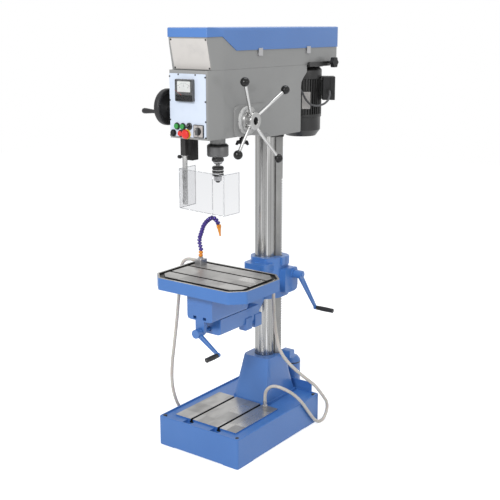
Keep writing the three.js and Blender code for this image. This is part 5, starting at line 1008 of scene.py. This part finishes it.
# %% Feed hub, dial and levers
feed_y, feed_z = -124, 1552
feed_steel = steel("feed_steel", (0.50, 0.50, 0.49), (0.34, 0.34, 0.34), (160, 160, 160), 0.22, 0.00002)
feed_axis = at(0, feed_y, feed_z)
dial_face, tree, surface, place = shader("dial_face", metallic=0.0)
from_axis = vector_maths(tree, "SUBTRACT", place, tuple(feed_axis))
across = build(tree, "ShaderNodeSeparateXYZ", in_0=from_axis)
round_it = maths(tree, "ARCTAN2", across.outputs[2], across.outputs[1])
beat = maths(tree, "SINE", sum_up(tree, round_it, 100))
near_edge = between(tree, across.outputs[0], 0.1330, 0.1332)
marks = maths(tree, "MULTIPLY", between(tree, beat, 0.78, 0.9), near_edge)
aged = between(tree, scaled_noise(tree, place, 60, 4, 0.6), 0.4, 0.8)
enamelled = blended(tree, aged, (0.55, 0.55, 0.54), (0.42, 0.42, 0.41))
feed(tree, surface, Base_Color=blended(tree, marks, enamelled, (0.05, 0.05, 0.05)),
     Roughness=sum_up(tree, aged, 0.2, 0.3))
feed_scale = turned_piece("feed_scale", [(20, 125.3), (61, 125.3), (62, 126.3), (62, 138.3), (61, 139.3),
                                         (20, 139.3)], feed_axis, RIGHT, dial_face, "feed_wheel", 96, 0.4)
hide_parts("feed_dial")
numbers = []
for index in range(10):
    turn = 2 * math.pi * index / 10
    outward = Vector((0, math.cos(turn), math.sin(turn)))
    spot = axis_frame(feed_axis + Vector((129.4 * MM, 0, 0)) + outward * 62.0 * MM, outward, RIGHT)
    numbers.append(letters("dial_number", str(index * 10), 6.0, spot, ink, None, math.pi / 2))
gathered("dial_numbers", numbers, ink, "feed_wheel")
turned_piece("feed_ring", [(20, 139.4), (51, 139.4), (52, 140.4), (52, 144.6), (50.4, 145.4), (50.4, 146.4),
                           (52, 147.2), (52, 150.6), (51, 151.6), (20, 151.6)], feed_axis, RIGHT, feed_steel,
             "feed_wheel", 96, 0.4)
turned_piece("feed_hub", [(17, 155), (17, 175.6), (18.4, 177), (36, 177), (38, 175), (38, 151.6), (17, 151.6),
                          (17, 155)], feed_axis, RIGHT, feed_steel, "feed_wheel", 96, 0.5)
turned_piece("feed_bore", [(0, 160), (8, 160), (8, 166), (10.5, 166), (10.5, 156), (16.9, 156), (16.9, 152),
                           (0, 152)], feed_axis, RIGHT, dark_steel, "feed_wheel", 48, 0.4)
turned_piece("feed_shaft", sleeve(0, 10.8, -17.8, 141), feed_axis, RIGHT, dark_steel,
             "feed_wheel", 48, 0.5)
levers = []
for index in range(4):
    turn = math.radians(35.7 + 90 * index)
    outward = (math.cos(turn), math.sin(turn))
    root = (161, feed_y + 30 * outward[0], feed_z + 30 * outward[1])
    tip = (210, feed_y + 215 * outward[0], feed_z + 215 * outward[1])
    levers.append(rod_between("lever", root, tip, 7, polished_steel, None, 32, 0.8))
    along = (Vector(tip) - Vector(root)).normalized()
    boss = [(0, -2), (11, -2), (11, 8), (9.4, 11), (7, 11.4), (0, 11.4)]
    levers.append(turned_piece("lever_boss", boss, at(*root), along, polished_steel, None, 32, 0.6))
    arc = [math.radians(degrees) for degrees in range(24, 180, 12)]
    ball = [(0, -19.6), (5.5, -18.9)] + [(20 * math.sin(a), -20 * math.cos(a)) for a in arc] + [(0, 20)]
    knob = turned_piece(f"ball_knob_{index + 1}", ball, at(*tip), along, ball_gloss, "feed_wheel", 48, 0.1)
    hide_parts(f"feed_knob_{index + 1}")
feed_levers = gathered("feed_levers", levers, polished_steel, "feed_wheel")
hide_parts("feed_spider")
print("feed hub with four levers")

# %% [markdown]
# The speed handwheel is moulded: a dished web with a thick round rim, a hub and a turning grip. Everything
# but the grip is round about one axis, so one lathe profile makes rim, web and hub together.

# %% Speed handwheel
wheel_y, wheel_z, grip_arm = -340, 1612, 64
wheel_axis = at(0, wheel_y, wheel_z)
wheel_profile = [(9.2, -128), (20, -128), (24, -131), (56, -136), (66, -128), (72, -126), (77, -128),
                 (79, -133), (79, -147), (77, -152), (72, -154), (67, -152), (64, -147), (58, -142),
                 (26, -140), (22, -146), (19, -148), (0, -148)]
wheel_rim = turned_piece("wheel_rim", wheel_profile, wheel_axis, RIGHT, grip_plastic, "speed_wheel", 72, 2.0)
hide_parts("speed_handwheel")
turned_piece("wheel_shaft", sleeve(0, 9, -92, -140), wheel_axis, RIGHT, bright_steel,
             "speed_wheel", 40, 0.4)
turned_piece("wheel_cap", [(0, -149.6), (8, -149.4), (12, -148), (12, -146), (0, -146)], wheel_axis, RIGHT,
             zinc, "speed_wheel", 40, 0.3)
grip_turn = math.radians(195)
grip_spot = at(0, wheel_y + grip_arm * math.cos(grip_turn), wheel_z + grip_arm * math.sin(grip_turn))
turned_piece("wheel_grip", [(0, -230), (6, -229.4), (10.5, -226), (12, -220), (11.6, -208), (9.6, -186),
                            (8, -168), (8.6, -160), (9, -154), (0, -154)], grip_spot, RIGHT, grip_plastic,
             "speed_wheel", 40, 1.0)
print("handwheel")

# %% [markdown]
# Crank grips are turned plastic that spins on a bolt, slightly barrel shaped so the hand stays centred.
# They could be plain rods, but a lathe profile with a groove and a bolt head shows how they are held.

# %% Crank grips and hub bolts
def crank_grip(name, node, start, along, length, body):
    """A barrel grip that replaces the plain one."""
    shape = [(0, 0), (9, 0), (10.4, 1.5), (11.4, length * 0.35), (11.4, length * 0.65), (10.6, length - 9),
             (11.4, length - 6), (11, length - 2), (8, length - 0.6), (0, length - 0.4)]
    piece = turned_piece(name, shape, at(*start), along, grip_plastic, body, 48, 1.2)
    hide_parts(node)
    tip = Vector(start) + Vector(along) * (length - 0.5)
    turned_piece(name + "_bolt", [(0, -3), (4, -3), (4, 0.2), (3.4, 0.7), (0, 0.9)], at(*tip), along,
                 dark_steel, body, 24, 0.2)


crank_grip("lift_grip_barrel", "lift_grip", (193.9, 370.7, 584.3), RIGHT, 96, "lift_handle_grip")
crank_grip("cross_grip_barrel", "cross_grip", (116.9, -333.9, 522.9), FORWARD, 78, "cross_handle_grip")
print("grips")

# %% [markdown]
# The motor body is an aluminium die casting with fins all round, painted black, with a fan cover below it.
# The fins run straight down the sides, so they are one outline pushed along the axis.

# %% Motor
MOTOR_Y = 502
case_radius, fin_root = 99.6, 92.5
motor_centre = at(0, MOTOR_Y, 0)


def finned_outline(inner, outer, count):
    """A round outline with square cooling fins."""
    made = []
    for k in range(count):
        for share, reach in ((0.0, inner), (0.42, inner), (0.5, outer), (0.82, outer), (0.9, inner)):
            turn = 2 * math.pi * (k + share) / count
            made.append((reach * math.cos(turn), reach * math.sin(turn)))
    return made


motor_axis = axis_frame(at(0, MOTOR_Y, 1515.2), UP, RIGHT)
fins = slab("motor_fins", finned_outline(fin_root, case_radius, 44), 184.6, motor_axis, black_enamel, None,
            0.8)
bell = turned_piece("motor_bell", [(0, 1699), (97, 1699), (case_radius, 1701.5), (case_radius, 1741),
                                   (97, 1746), (90, 1754), (84, 1759.6), (0, 1759.6)], motor_centre, UP,
                    black_enamel, None, 96, 1.0)
foot = turned_piece("motor_foot", [(0, 1515.2), (98, 1515.2), (case_radius, 1517), (case_radius, 1529),
                                   (98, 1530.5), (0, 1530.5)], motor_centre, UP, black_enamel, None, 96, 0.6)
shaft = turned_piece("motor_shaft", [(0, 1750), (13.8, 1750), (13.8, 1841.5), (12.4, 1843), (0, 1843)],
                     motor_centre, UP, black_enamel, None, 40, 0.4)
motor_case = gathered("motor_case", [fins, bell, foot, shaft], black_enamel, "motor")
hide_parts("motor_body")
finish_casting("fan_cover", black_enamel, 0.8)
plate_out = Vector((0.731, -0.682, 0)).normalized()
plate_frame = axis_frame(at(plate_out.x * 99.9, MOTOR_Y + plate_out.y * 99.9, 1599), plate_out,
                         (-plate_out.y, plate_out.x, 0))
slab("rating_plate", rounded_rectangle(-21, 21, -41, 41, 2.5), 0.8, plate_frame, plaque_white, "motor", 0.3)
rivets = [turned_piece("rivet", [(0, 0.6), (2.2, 0.6), (2.2, 1.3), (1.2, 2), (0, 2.1)],
                       on_frame(plate_frame, x, z), plate_out, zinc, None, 16, 0.3)
          for x in (-16, 16) for z in (-36, 36)]
gathered("plate_rivets", rivets, zinc, "motor")
print("motor case")

# %% [markdown]
# The control panel is bare sheet with standard 22 mm push buttons: each has a dark
# bezel ring and a coloured cap. The stop and the emergency stop are red, and the
# emergency stop sits on a yellow collar so that nobody misses it.

# %% Control panel and push buttons
PANEL_Y = -372.3
HEAD_FRONT = 1484
finish_casting("control_panel", panel_white, 0.5)


def on_panel(x, rise):
    """A point on the panel's face."""
    return at(x, PANEL_Y, HEAD_FRONT + rise)


cap_shape = [(0, 3.6), (11.2, 3.6), (11.2, 10.2), (10.2, 11.4), (9, 11.7), (7.6, 11.2), (0, 10.8)]
bezel_shape = [(11.9, 0.4), (15.2, 0.4), (15.2, 4.2), (14.6, 4.7), (12.6, 4.8), (11.9, 4.5)]
push_buttons = (("start_button_left", "start_left", -59, 53, green_plastic),
                ("start_button_right", "start_right", -26, 53, green_plastic),
                ("jog_button", "jog", -80, 23, black_plastic), ("stop_button", "stop", -39, 23, red_plastic))
for node, body, x, rise, look in push_buttons:
    cap = turned_piece(node + "_cap", cap_shape, on_panel(x, rise), FORWARD, look, body, 48, 0.4)
    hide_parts(node)
    turned_piece(node + "_bezel", bezel_shape, on_panel(x, rise), FORWARD, black_plastic, "frame", 48, 0.3)
emergency_place = on_panel(-6, 22)
mushroom = [(0, 6.2), (10, 6.2), (10, 8.2), (19.4, 9.2), (20, 11), (19.4, 15), (16, 18.6), (10, 20.4),
            (0, 20.9)]
stop_head = turned_piece("emergency_head", mushroom, emergency_place, FORWARD, red_plastic, "emergency", 64,
                         0.8)
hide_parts("emergency_stop")
turned_piece("emergency_collar", [(10.6, 0.4), (20.9, 0.4), (20.9, 3.2), (20.2, 3.7), (10.6, 3.8)],
             emergency_place, FORWARD, yellow_plastic, "frame", 64, 0.4)
selector_place = on_panel(9, 56)
turned_piece("selector_base", [(9.6, 0.4), (15.2, 0.4), (15.2, 4.4), (14.2, 5.4), (9.6, 5.6)], selector_place,
             FORWARD, dark_steel, "frame", 48, 0.4)
selector_cap = turned_piece("selector_cap", [(0, 1), (9, 1), (9, 10.8), (8, 12), (0, 12.2)], selector_place,
                            FORWARD, black_plastic, "selector", 40, 0.5)
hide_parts("mode_selector")
selector_turn = math.radians(40)
wing = axis_frame(selector_place, FORWARD, (math.cos(selector_turn), 0, math.sin(selector_turn)))
slab("selector_wing", rounded_rectangle(-9, 9, -2.2, 2.2, 1.6), 16, wing, black_plastic, "selector", 0.8)
slab("selector_mark", rounded_rectangle(3, 8.4, -0.5, 0.5, 0.3), 16.4, wing, plaque_white, "selector", 0.1)
print("push buttons")

# %% [markdown]
# The main switch is a dark rotary knob on a square grey plate, with plain ON and OFF marks. The plate is
# two slabs, so that a dark edge shows round the bright face; knob and bar turn together.

# %% Main switch
switch_place = on_panel(60, 38)
switch_frame = axis_frame(switch_place, FORWARD, RIGHT)
plate_grey = moulded("plate_grey", (0.42, 0.39, 0.37), (0.36, 0.34, 0.33), 0.3)
slab("switch_edge", rounded_rectangle(-27, 27, -27, 27, 3), 5.4, switch_frame, black_plastic, "frame", 0.8)
slab("switch_plate", rounded_rectangle(-24.4, 24.4, -24.4, 24.4, 2), 6, switch_frame, plate_grey, "frame",
     0.4)
knob_ring = turned_piece("switch_knob", [(0, 6.1), (16.6, 6.1), (17, 7), (16.6, 8.4), (14.8, 9), (14.8, 12),
                                         (13.8, 13), (0, 13)], switch_place, FORWARD, black_plastic,
                         "isolator", 56, 0.5)
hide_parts("main_switch")
slab("switch_bar", rounded_rectangle(-5, 5, -15, 15, 3), 22, switch_frame, grey_plastic, "isolator", 1.2)
slab("switch_pointer", rounded_rectangle(-0.7, 0.7, 7, 13.4, 0.4), 22.3, switch_frame, plaque_white,
     "isolator", 0.1)
letters("switch_on", "ON", 5.2, switch_frame @ Matrix.Translation(Vector((0, 20.3, 6)) * MM), ink, "frame")
letters("switch_off", "OFF", 5.2, switch_frame @ Matrix.Translation(Vector((0, -20.6, 6)) * MM), ink, "frame")
print("main switch")

# %% [markdown]
# The speed readout is a standard 96 mm panel meter: a dark case under a clear cover, with a pale scale.
# Its numbers are generic; a thin red pointer rests at zero.

# %% Speed readout
clear_cover, tree, surface, place = shader("clear_cover", coat=0.0, in_Transmission_Weight=1.0, in_IOR=1.2,
                                           in_Base_Color=(0.95, 0.97, 0.98, 1))
haze = scaled_noise(tree, place, 40, 4, 0.6)
feed(tree, surface, Roughness=sum_up(tree, haze, 0.10, 0.02))
meter_frame = axis_frame(at(-53, PANEL_Y - 0.3, 1644), FORWARD, RIGHT)
meter_case = slab("meter_case", rounded_rectangle(0.4, 92.6, 0.4, 92.6, 4), 15, meter_frame, grey_plastic,
                  "frame", 1.0)
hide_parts("digital_readout")
slab("meter_scale_plate", rounded_rectangle(11, 82, 40, 84, 2), 16.2, meter_frame, dial_white, "frame", 0.2)
slab("meter_lower_band", rounded_rectangle(3, 90, 3, 28, 2), 16.6, meter_frame, black_plastic, "frame", 0.4)
PIVOT_X, PIVOT_Y, ZERO_TURN = 46.5, 20, 150
ticks = []
for index in range(21):
    turn = math.radians(ZERO_TURN - index * 6)
    reach_in = 54 if index % 5 else 50
    tick = axis_frame(on_frame(meter_frame, PIVOT_X, PIVOT_Y, 16.2), FORWARD,
                      (math.cos(turn), 0, math.sin(turn)))
    ticks.append(slab("tick", rounded_rectangle(reach_in, 58, -0.35, 0.35, 0.1, 1), 0.3, tick, ink, None,
                      0.05))
gathered("meter_ticks", ticks, ink, "frame")
for index, number in enumerate(("0", "5", "10", "15", "20")):
    turn = math.radians(ZERO_TURN - index * 30)
    number_x, number_y = PIVOT_X + 45 * math.cos(turn), PIVOT_Y + 45 * math.sin(turn)
    spot = Matrix.Translation(Vector((number_x, number_y, 16.3)) * MM)
    letters("meter_number_" + number, number, 6.5, meter_frame @ spot, ink, "frame")
at_zero = math.radians(ZERO_TURN)
pointer = axis_frame(on_frame(meter_frame, PIVOT_X, PIVOT_Y, 16.9), FORWARD,
                     (math.cos(at_zero), 0, math.sin(at_zero)))
slab("meter_pointer", [(14, -0.8), (56, -0.2), (56, 0.2), (14, 0.8)], 0.5, pointer, red_plastic, "frame", 0.1)
slab("meter_window", rounded_rectangle(0, 93, 0, 93, 5), 20, meter_frame, clear_cover, "frame", 1.6)
screws("meter_screws", [(x, PANEL_Y - 20.1, z) for x in (-47, 34) for z in (1650, 1731)], FORWARD, 2.6, 1.2,
       screw_black, "frame")
screws("panel_screws", [(x, PANEL_Y - 0.2, z) for x in (-97, 97) for z in (1746, 1646, 1563, 1496)]
       + [(x, PANEL_Y - 0.2, 1755) for x in (-49, 44)], FORWARD, 3.6, 1.8, screw_black, "frame")
print("readout")

# %% [markdown]
# A blank plate covers the sloping front of the belt housing; it is anodised sheet on four small screws. It
# lies along the slope, so it is drawn flat in a frame that leans with the housing.

# %% Front plaque
slope = Vector((0, -370 + 340, 1908 - 1773))
slope_up = slope.normalized()
slope_out = Vector((0, -slope_up.z, slope_up.y))
plaque_frame = axis_frame(at(0, -340.4, 1773), slope_out, RIGHT)
slab("front_plaque", rounded_rectangle(-95, 103, 4, slope.length - 5, 3), 1.0, plaque_frame, plaque_white,
     "frame", 0.3)
plaque_screws = [turned_piece("plaque_screw", [(0, 0.8), (4.2, 0.8), (4.2, 1.8), (3, 2.6), (0, 2.8)],
                              on_frame(plaque_frame, x, y), slope_out, screw_black, None, 18, 0.2)
                 for x in (-90, 98) for y in (9, slope.length - 10)]
gathered("plaque_screws", plaque_screws, screw_black, "frame")
print("plaque")

# %% [markdown]
# The chuck guard is a bent sheet of clear polycarbonate on a bright tube, held by a thumbscrew. Clear sheet
# is hardly seen but for its edges, so thin bright strips follow its edges and its folds: a painted highlight
# where the clear edges catch the light.

# %% Chuck guard
guard_clear, tree, surface, place = shader("guard_clear", coat=0.0, in_Transmission_Weight=1.0, in_IOR=1.08,
                                           in_Base_Color=(0.83, 0.83, 0.835, 1))
scuffs = scaled_noise(tree, place, 14, 5, 0.7, (1, 1, 6))
feed(tree, surface, Roughness=sum_up(tree, scuffs, 0.16, 0.0))
dress(nodes["guard_shield"], guard_clear)
# Painted highlight: bright grey strips along the sheet's edges and folds, where clear edges catch the light.
painted_edge_highlight = moulded("painted_edge_highlight", (0.46, 0.47, 0.48), (0.54, 0.55, 0.56), 0.12)
fold_line = [(-134, -167), (-128, -285), (85, -316), (150, -320), (152, -215)]
sheet_low, sheet_high = 1159, 1336


def rim(start, finish):
    """A thin bright strip along one edge of the sheet, a painted highlight."""
    return rod_between("rim", start, finish, 1.3, painted_edge_highlight, None, 8, 0.1)


edge_highlight_strips = [rim((*first, z), (*last, z)) for first, last in zip(fold_line, fold_line[1:])
        for z in (sheet_low, sheet_high)]
edge_highlight_strips += [rim((x, y, sheet_low), (x, y, sheet_high)) for x, y in fold_line]
gathered("guard_edge_highlights", edge_highlight_strips, painted_edge_highlight, "guard_screen")
tube_x, tube_y = -107, -270
tube_axis = at(tube_x, tube_y, 0)
turned_piece("guard_sleeve", sleeve(8, 11.3, 1175.4, 1394.6), tube_axis, UP,
             bright_steel, "guard_screen", 48, 0.6)
rivet_out = (math.cos(math.radians(-54)), math.sin(math.radians(-54)), 0)
rivet_spots = [(tube_x + 11.2 * rivet_out[0], tube_y + 11.2 * rivet_out[1], z) for z in range(1190, 1331, 14)]
screws("guard_rivets", rivet_spots, rivet_out, 2.2, 0.8, zinc, "guard_screen")
thumb = turned_piece("thumb_screw", [(0, 0), (4, 0), (4, 16), (7.6, 17), (8, 18.4), (8, 29.6), (7, 31),
                                     (0, 31)], at(-113.8, -270, 1386.4), LEFT, black_plastic, "guard_clamp",
                     32, 0.5, ribs(12, 0.9, 17.5, 30))
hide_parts("guard_thumbscrew")
print("guard")

# %% [markdown]
# The coolant nozzle is on a chain of snap-together plastic joints: every joint is a ball held in the next
# one's socket. Each bead is one lathe shape, set along the curve of the hose.

# %% Segmented nozzle hose
bead_route = [(-196, -60, 875.9), (-196, -60, 889.3), (-194, -60, 912), (-202, -60, 944), (-201, -60, 968),
              (-188, -61, 999), (-175, -62, 1030), (-149, -63, 1059), (-117, -64, 1077), (-94, -65, 1067),
              (-78, -66, 1044), (-70, -66, 1020), (-72, -66, 997)]
BEAD_STEPS, NOZZLE = 300, 55
bead_line, bead_length = spline_points([at(*p) for p in bead_route], BEAD_STEPS)
bead_count = round((bead_length / MM - NOZZLE) / 15)
bead_step = (bead_length - NOZZLE * MM) / bead_count
bead_shape = [(0, -7.6), (5.4, -7.6), (6, -5.2), (9.8, -4.6), (11, -2), (11, 2), (10, 4.8), (6, 5.4),
              (5.4, 7.8), (0, 7.8)]
orange_beads, purple_beads = [], []
for index in range(bead_count):
    share = (index + 0.5) * bead_step / bead_length * BEAD_STEPS
    here = bead_line[int(share)].lerp(bead_line[int(share) + 1], share - int(share))
    ahead = bead_line[min(int(share) + 6, BEAD_STEPS)] - bead_line[max(int(share) - 6, 0)]
    bead = turned_piece("bead", bead_shape, here, ahead, purple_plastic, None, 28, 0.7)
    (orange_beads if index < 2 else purple_beads).append(bead)
chain = gathered("nozzle_chain", purple_beads, purple_plastic, "table")
gathered("nozzle_socket", orange_beads, orange_plastic, "table")
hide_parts("segmented_hose")
tip_from = bead_line[BEAD_STEPS - int(NOZZLE * MM / bead_length * BEAD_STEPS)]
nozzle_shape = [(0, 0), (9.4, 0), (10.8, 3), (10.8, 14), (8.4, 17), (7.6, 24), (4.4, 44), (4, 54.4),
                (2.4, 54.6), (2.4, 50), (0, 50)]
turned_piece("nozzle_tip", nozzle_shape, tip_from, bead_line[BEAD_STEPS] - tip_from, orange_plastic, "table",
             40, 0.7)
print("hose of", bead_count, "beads")

# %% [markdown]
# The coolant pump stands behind the base on a bracket: cast housing below, plain motor can above. Both are
# turned shapes with dark bands where the can is rolled on; flange and shelf are cut from plate.

# %% Coolant pump and drain
pump_axis = at(26, 402, 0)
pump_case = turned_piece("pump_case", [(0, 50.3), (27, 50.3), (28.3, 52), (28.3, 109), (36, 113), (45.6, 119),
                                       (45.6, 141.5), (0, 141.5)], pump_axis, UP, blue_enamel, "frame", 64,
                         1.2)
turned_piece("pump_motor", [(0, 150.2), (45.7, 150.2), (45.7, 266), (42, 272), (32.5, 285), (28, 287.6),
                            (0, 287.8)], pump_axis, UP, blue_enamel, "frame", 64, 1.6)
for index, height in enumerate((158, 258)):
    turned_piece(f"pump_band_{index + 1}", sleeve(40, 45.9, height - 3, height + 3), pump_axis, UP,
                 screw_black, "frame", 64, 0.5)
flat = axis_frame(at(0, 341.3, 0), REARWARD, LEFT)
slab("pump_flange", rounded_rectangle(-189, 32, 100, 192, 6), 5.9, flat, blue_sheet, "frame", 0.8)
shelf = axis_frame(at(0, 0, 142), UP, RIGHT)
slab("pump_shelf", rounded_rectangle(-32.6, 84, 341.6, 432, 6), 8, shelf, blue_sheet, "frame", 0.8)
rod_between("pump_outlet", (26 - 40, 402, 200), (-44, 402, 200), 9, zinc, "frame")
screws("pump_flange_screws", [(x, 347, z) for x in (-20, 172) for z in (112, 180)], REARWARD, 5, 3,
       screw_black, "frame")
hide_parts("coolant_pump")
drain_base = turned_piece("drain_base", [(0, 122.4), (8.6, 122.4), (8.6, 147.4), (12.8, 147.4), (12.8, 155),
                                         (11.6, 156.4), (9, 157.4), (9, 163), (8, 164), (8, 166), (9, 167),
                                         (9, 176.8), (0, 176.8)], at(114, 41, 0), UP, zinc, "frame", 6, 0.3)
smooth(drain_base, 20)
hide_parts("drain_fitting")
print("pump and drain")

# %% [markdown]
# Two sheaves sit under the lid: turned iron, with a V groove for the belt and a hub below.

# %% Pulleys
sheaves = (("spindle_sheave_face", "spindle_pulley", "spindle_sheave", QUILL_Y, 92, 28, 15.2, 1717.2),
           ("motor_sheave_face", "motor_pulley", "motor_sheave", MOTOR_Y, 58, 21, 14.4, 1791.2))
for name, node, body, y, rim_radius, hub, bore, low in sheaves:
    sheave = turned_piece(name, [(bore, low), (hub, low), (hub, 1799), (rim_radius - 1, 1799),
                                 (rim_radius, 1800), (rim_radius, 1803), (rim_radius - 19.6, 1814),
                                 (rim_radius - 19.6, 1826), (rim_radius, 1837), (rim_radius, 1840),
                                 (rim_radius - 1, 1841), (rim_radius - 8, 1841), (rim_radius - 9, 1838),
                                 (hub + 4, 1838), (hub + 2, 1841), (bore, 1841), (bore, low)], at(0, y, 0),
                          UP, turned_steel, body, 96, 0.5)
    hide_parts(node)
print("pulleys")

# %% [markdown]
# Bolts, plugs and hose clamps finish the machine: they show how the castings and hoses are held. Each kind
# is made once as a small lathe shape and set wherever the machine has one.

# %% Fasteners
screws("pedestal_bolts", [(x, y, 172) for x, y in ((-70, 120), (70, 120), (-70, 274), (70, 274))], UP, 9, 8,
       screw_black, "frame")
plugs = [turned_piece("plug", [(0, 139), (8.6, 139), (8.6, 146.4), (6, 146.6), (0, 145.6)], at(x, y, 0), UP,
                      screw_black, None, 24, 0.3) for x in (-215, 215) for y in (-318, 318)]
gathered("anchor_plugs", plugs, screw_black, "frame")
clamps = [turned_piece("clamp", sleeve(8, 9.6, 0, 9), at(*spot), along, zinc, None, 40, 0.3)
          for spot, along in (((114, 41, 166), UP), ((-48, 402, 200), LEFT))]
gathered("hose_clamps", clamps, zinc, "frame")
screws("side_screws", [(105.2, 130, 1766), (105.2, 37, 1498), (105.2, 85, 1496)], RIGHT, 3.2, 1.6,
       screw_black, "frame")
print("fasteners")

# %% [markdown]

# %% End
print("done")
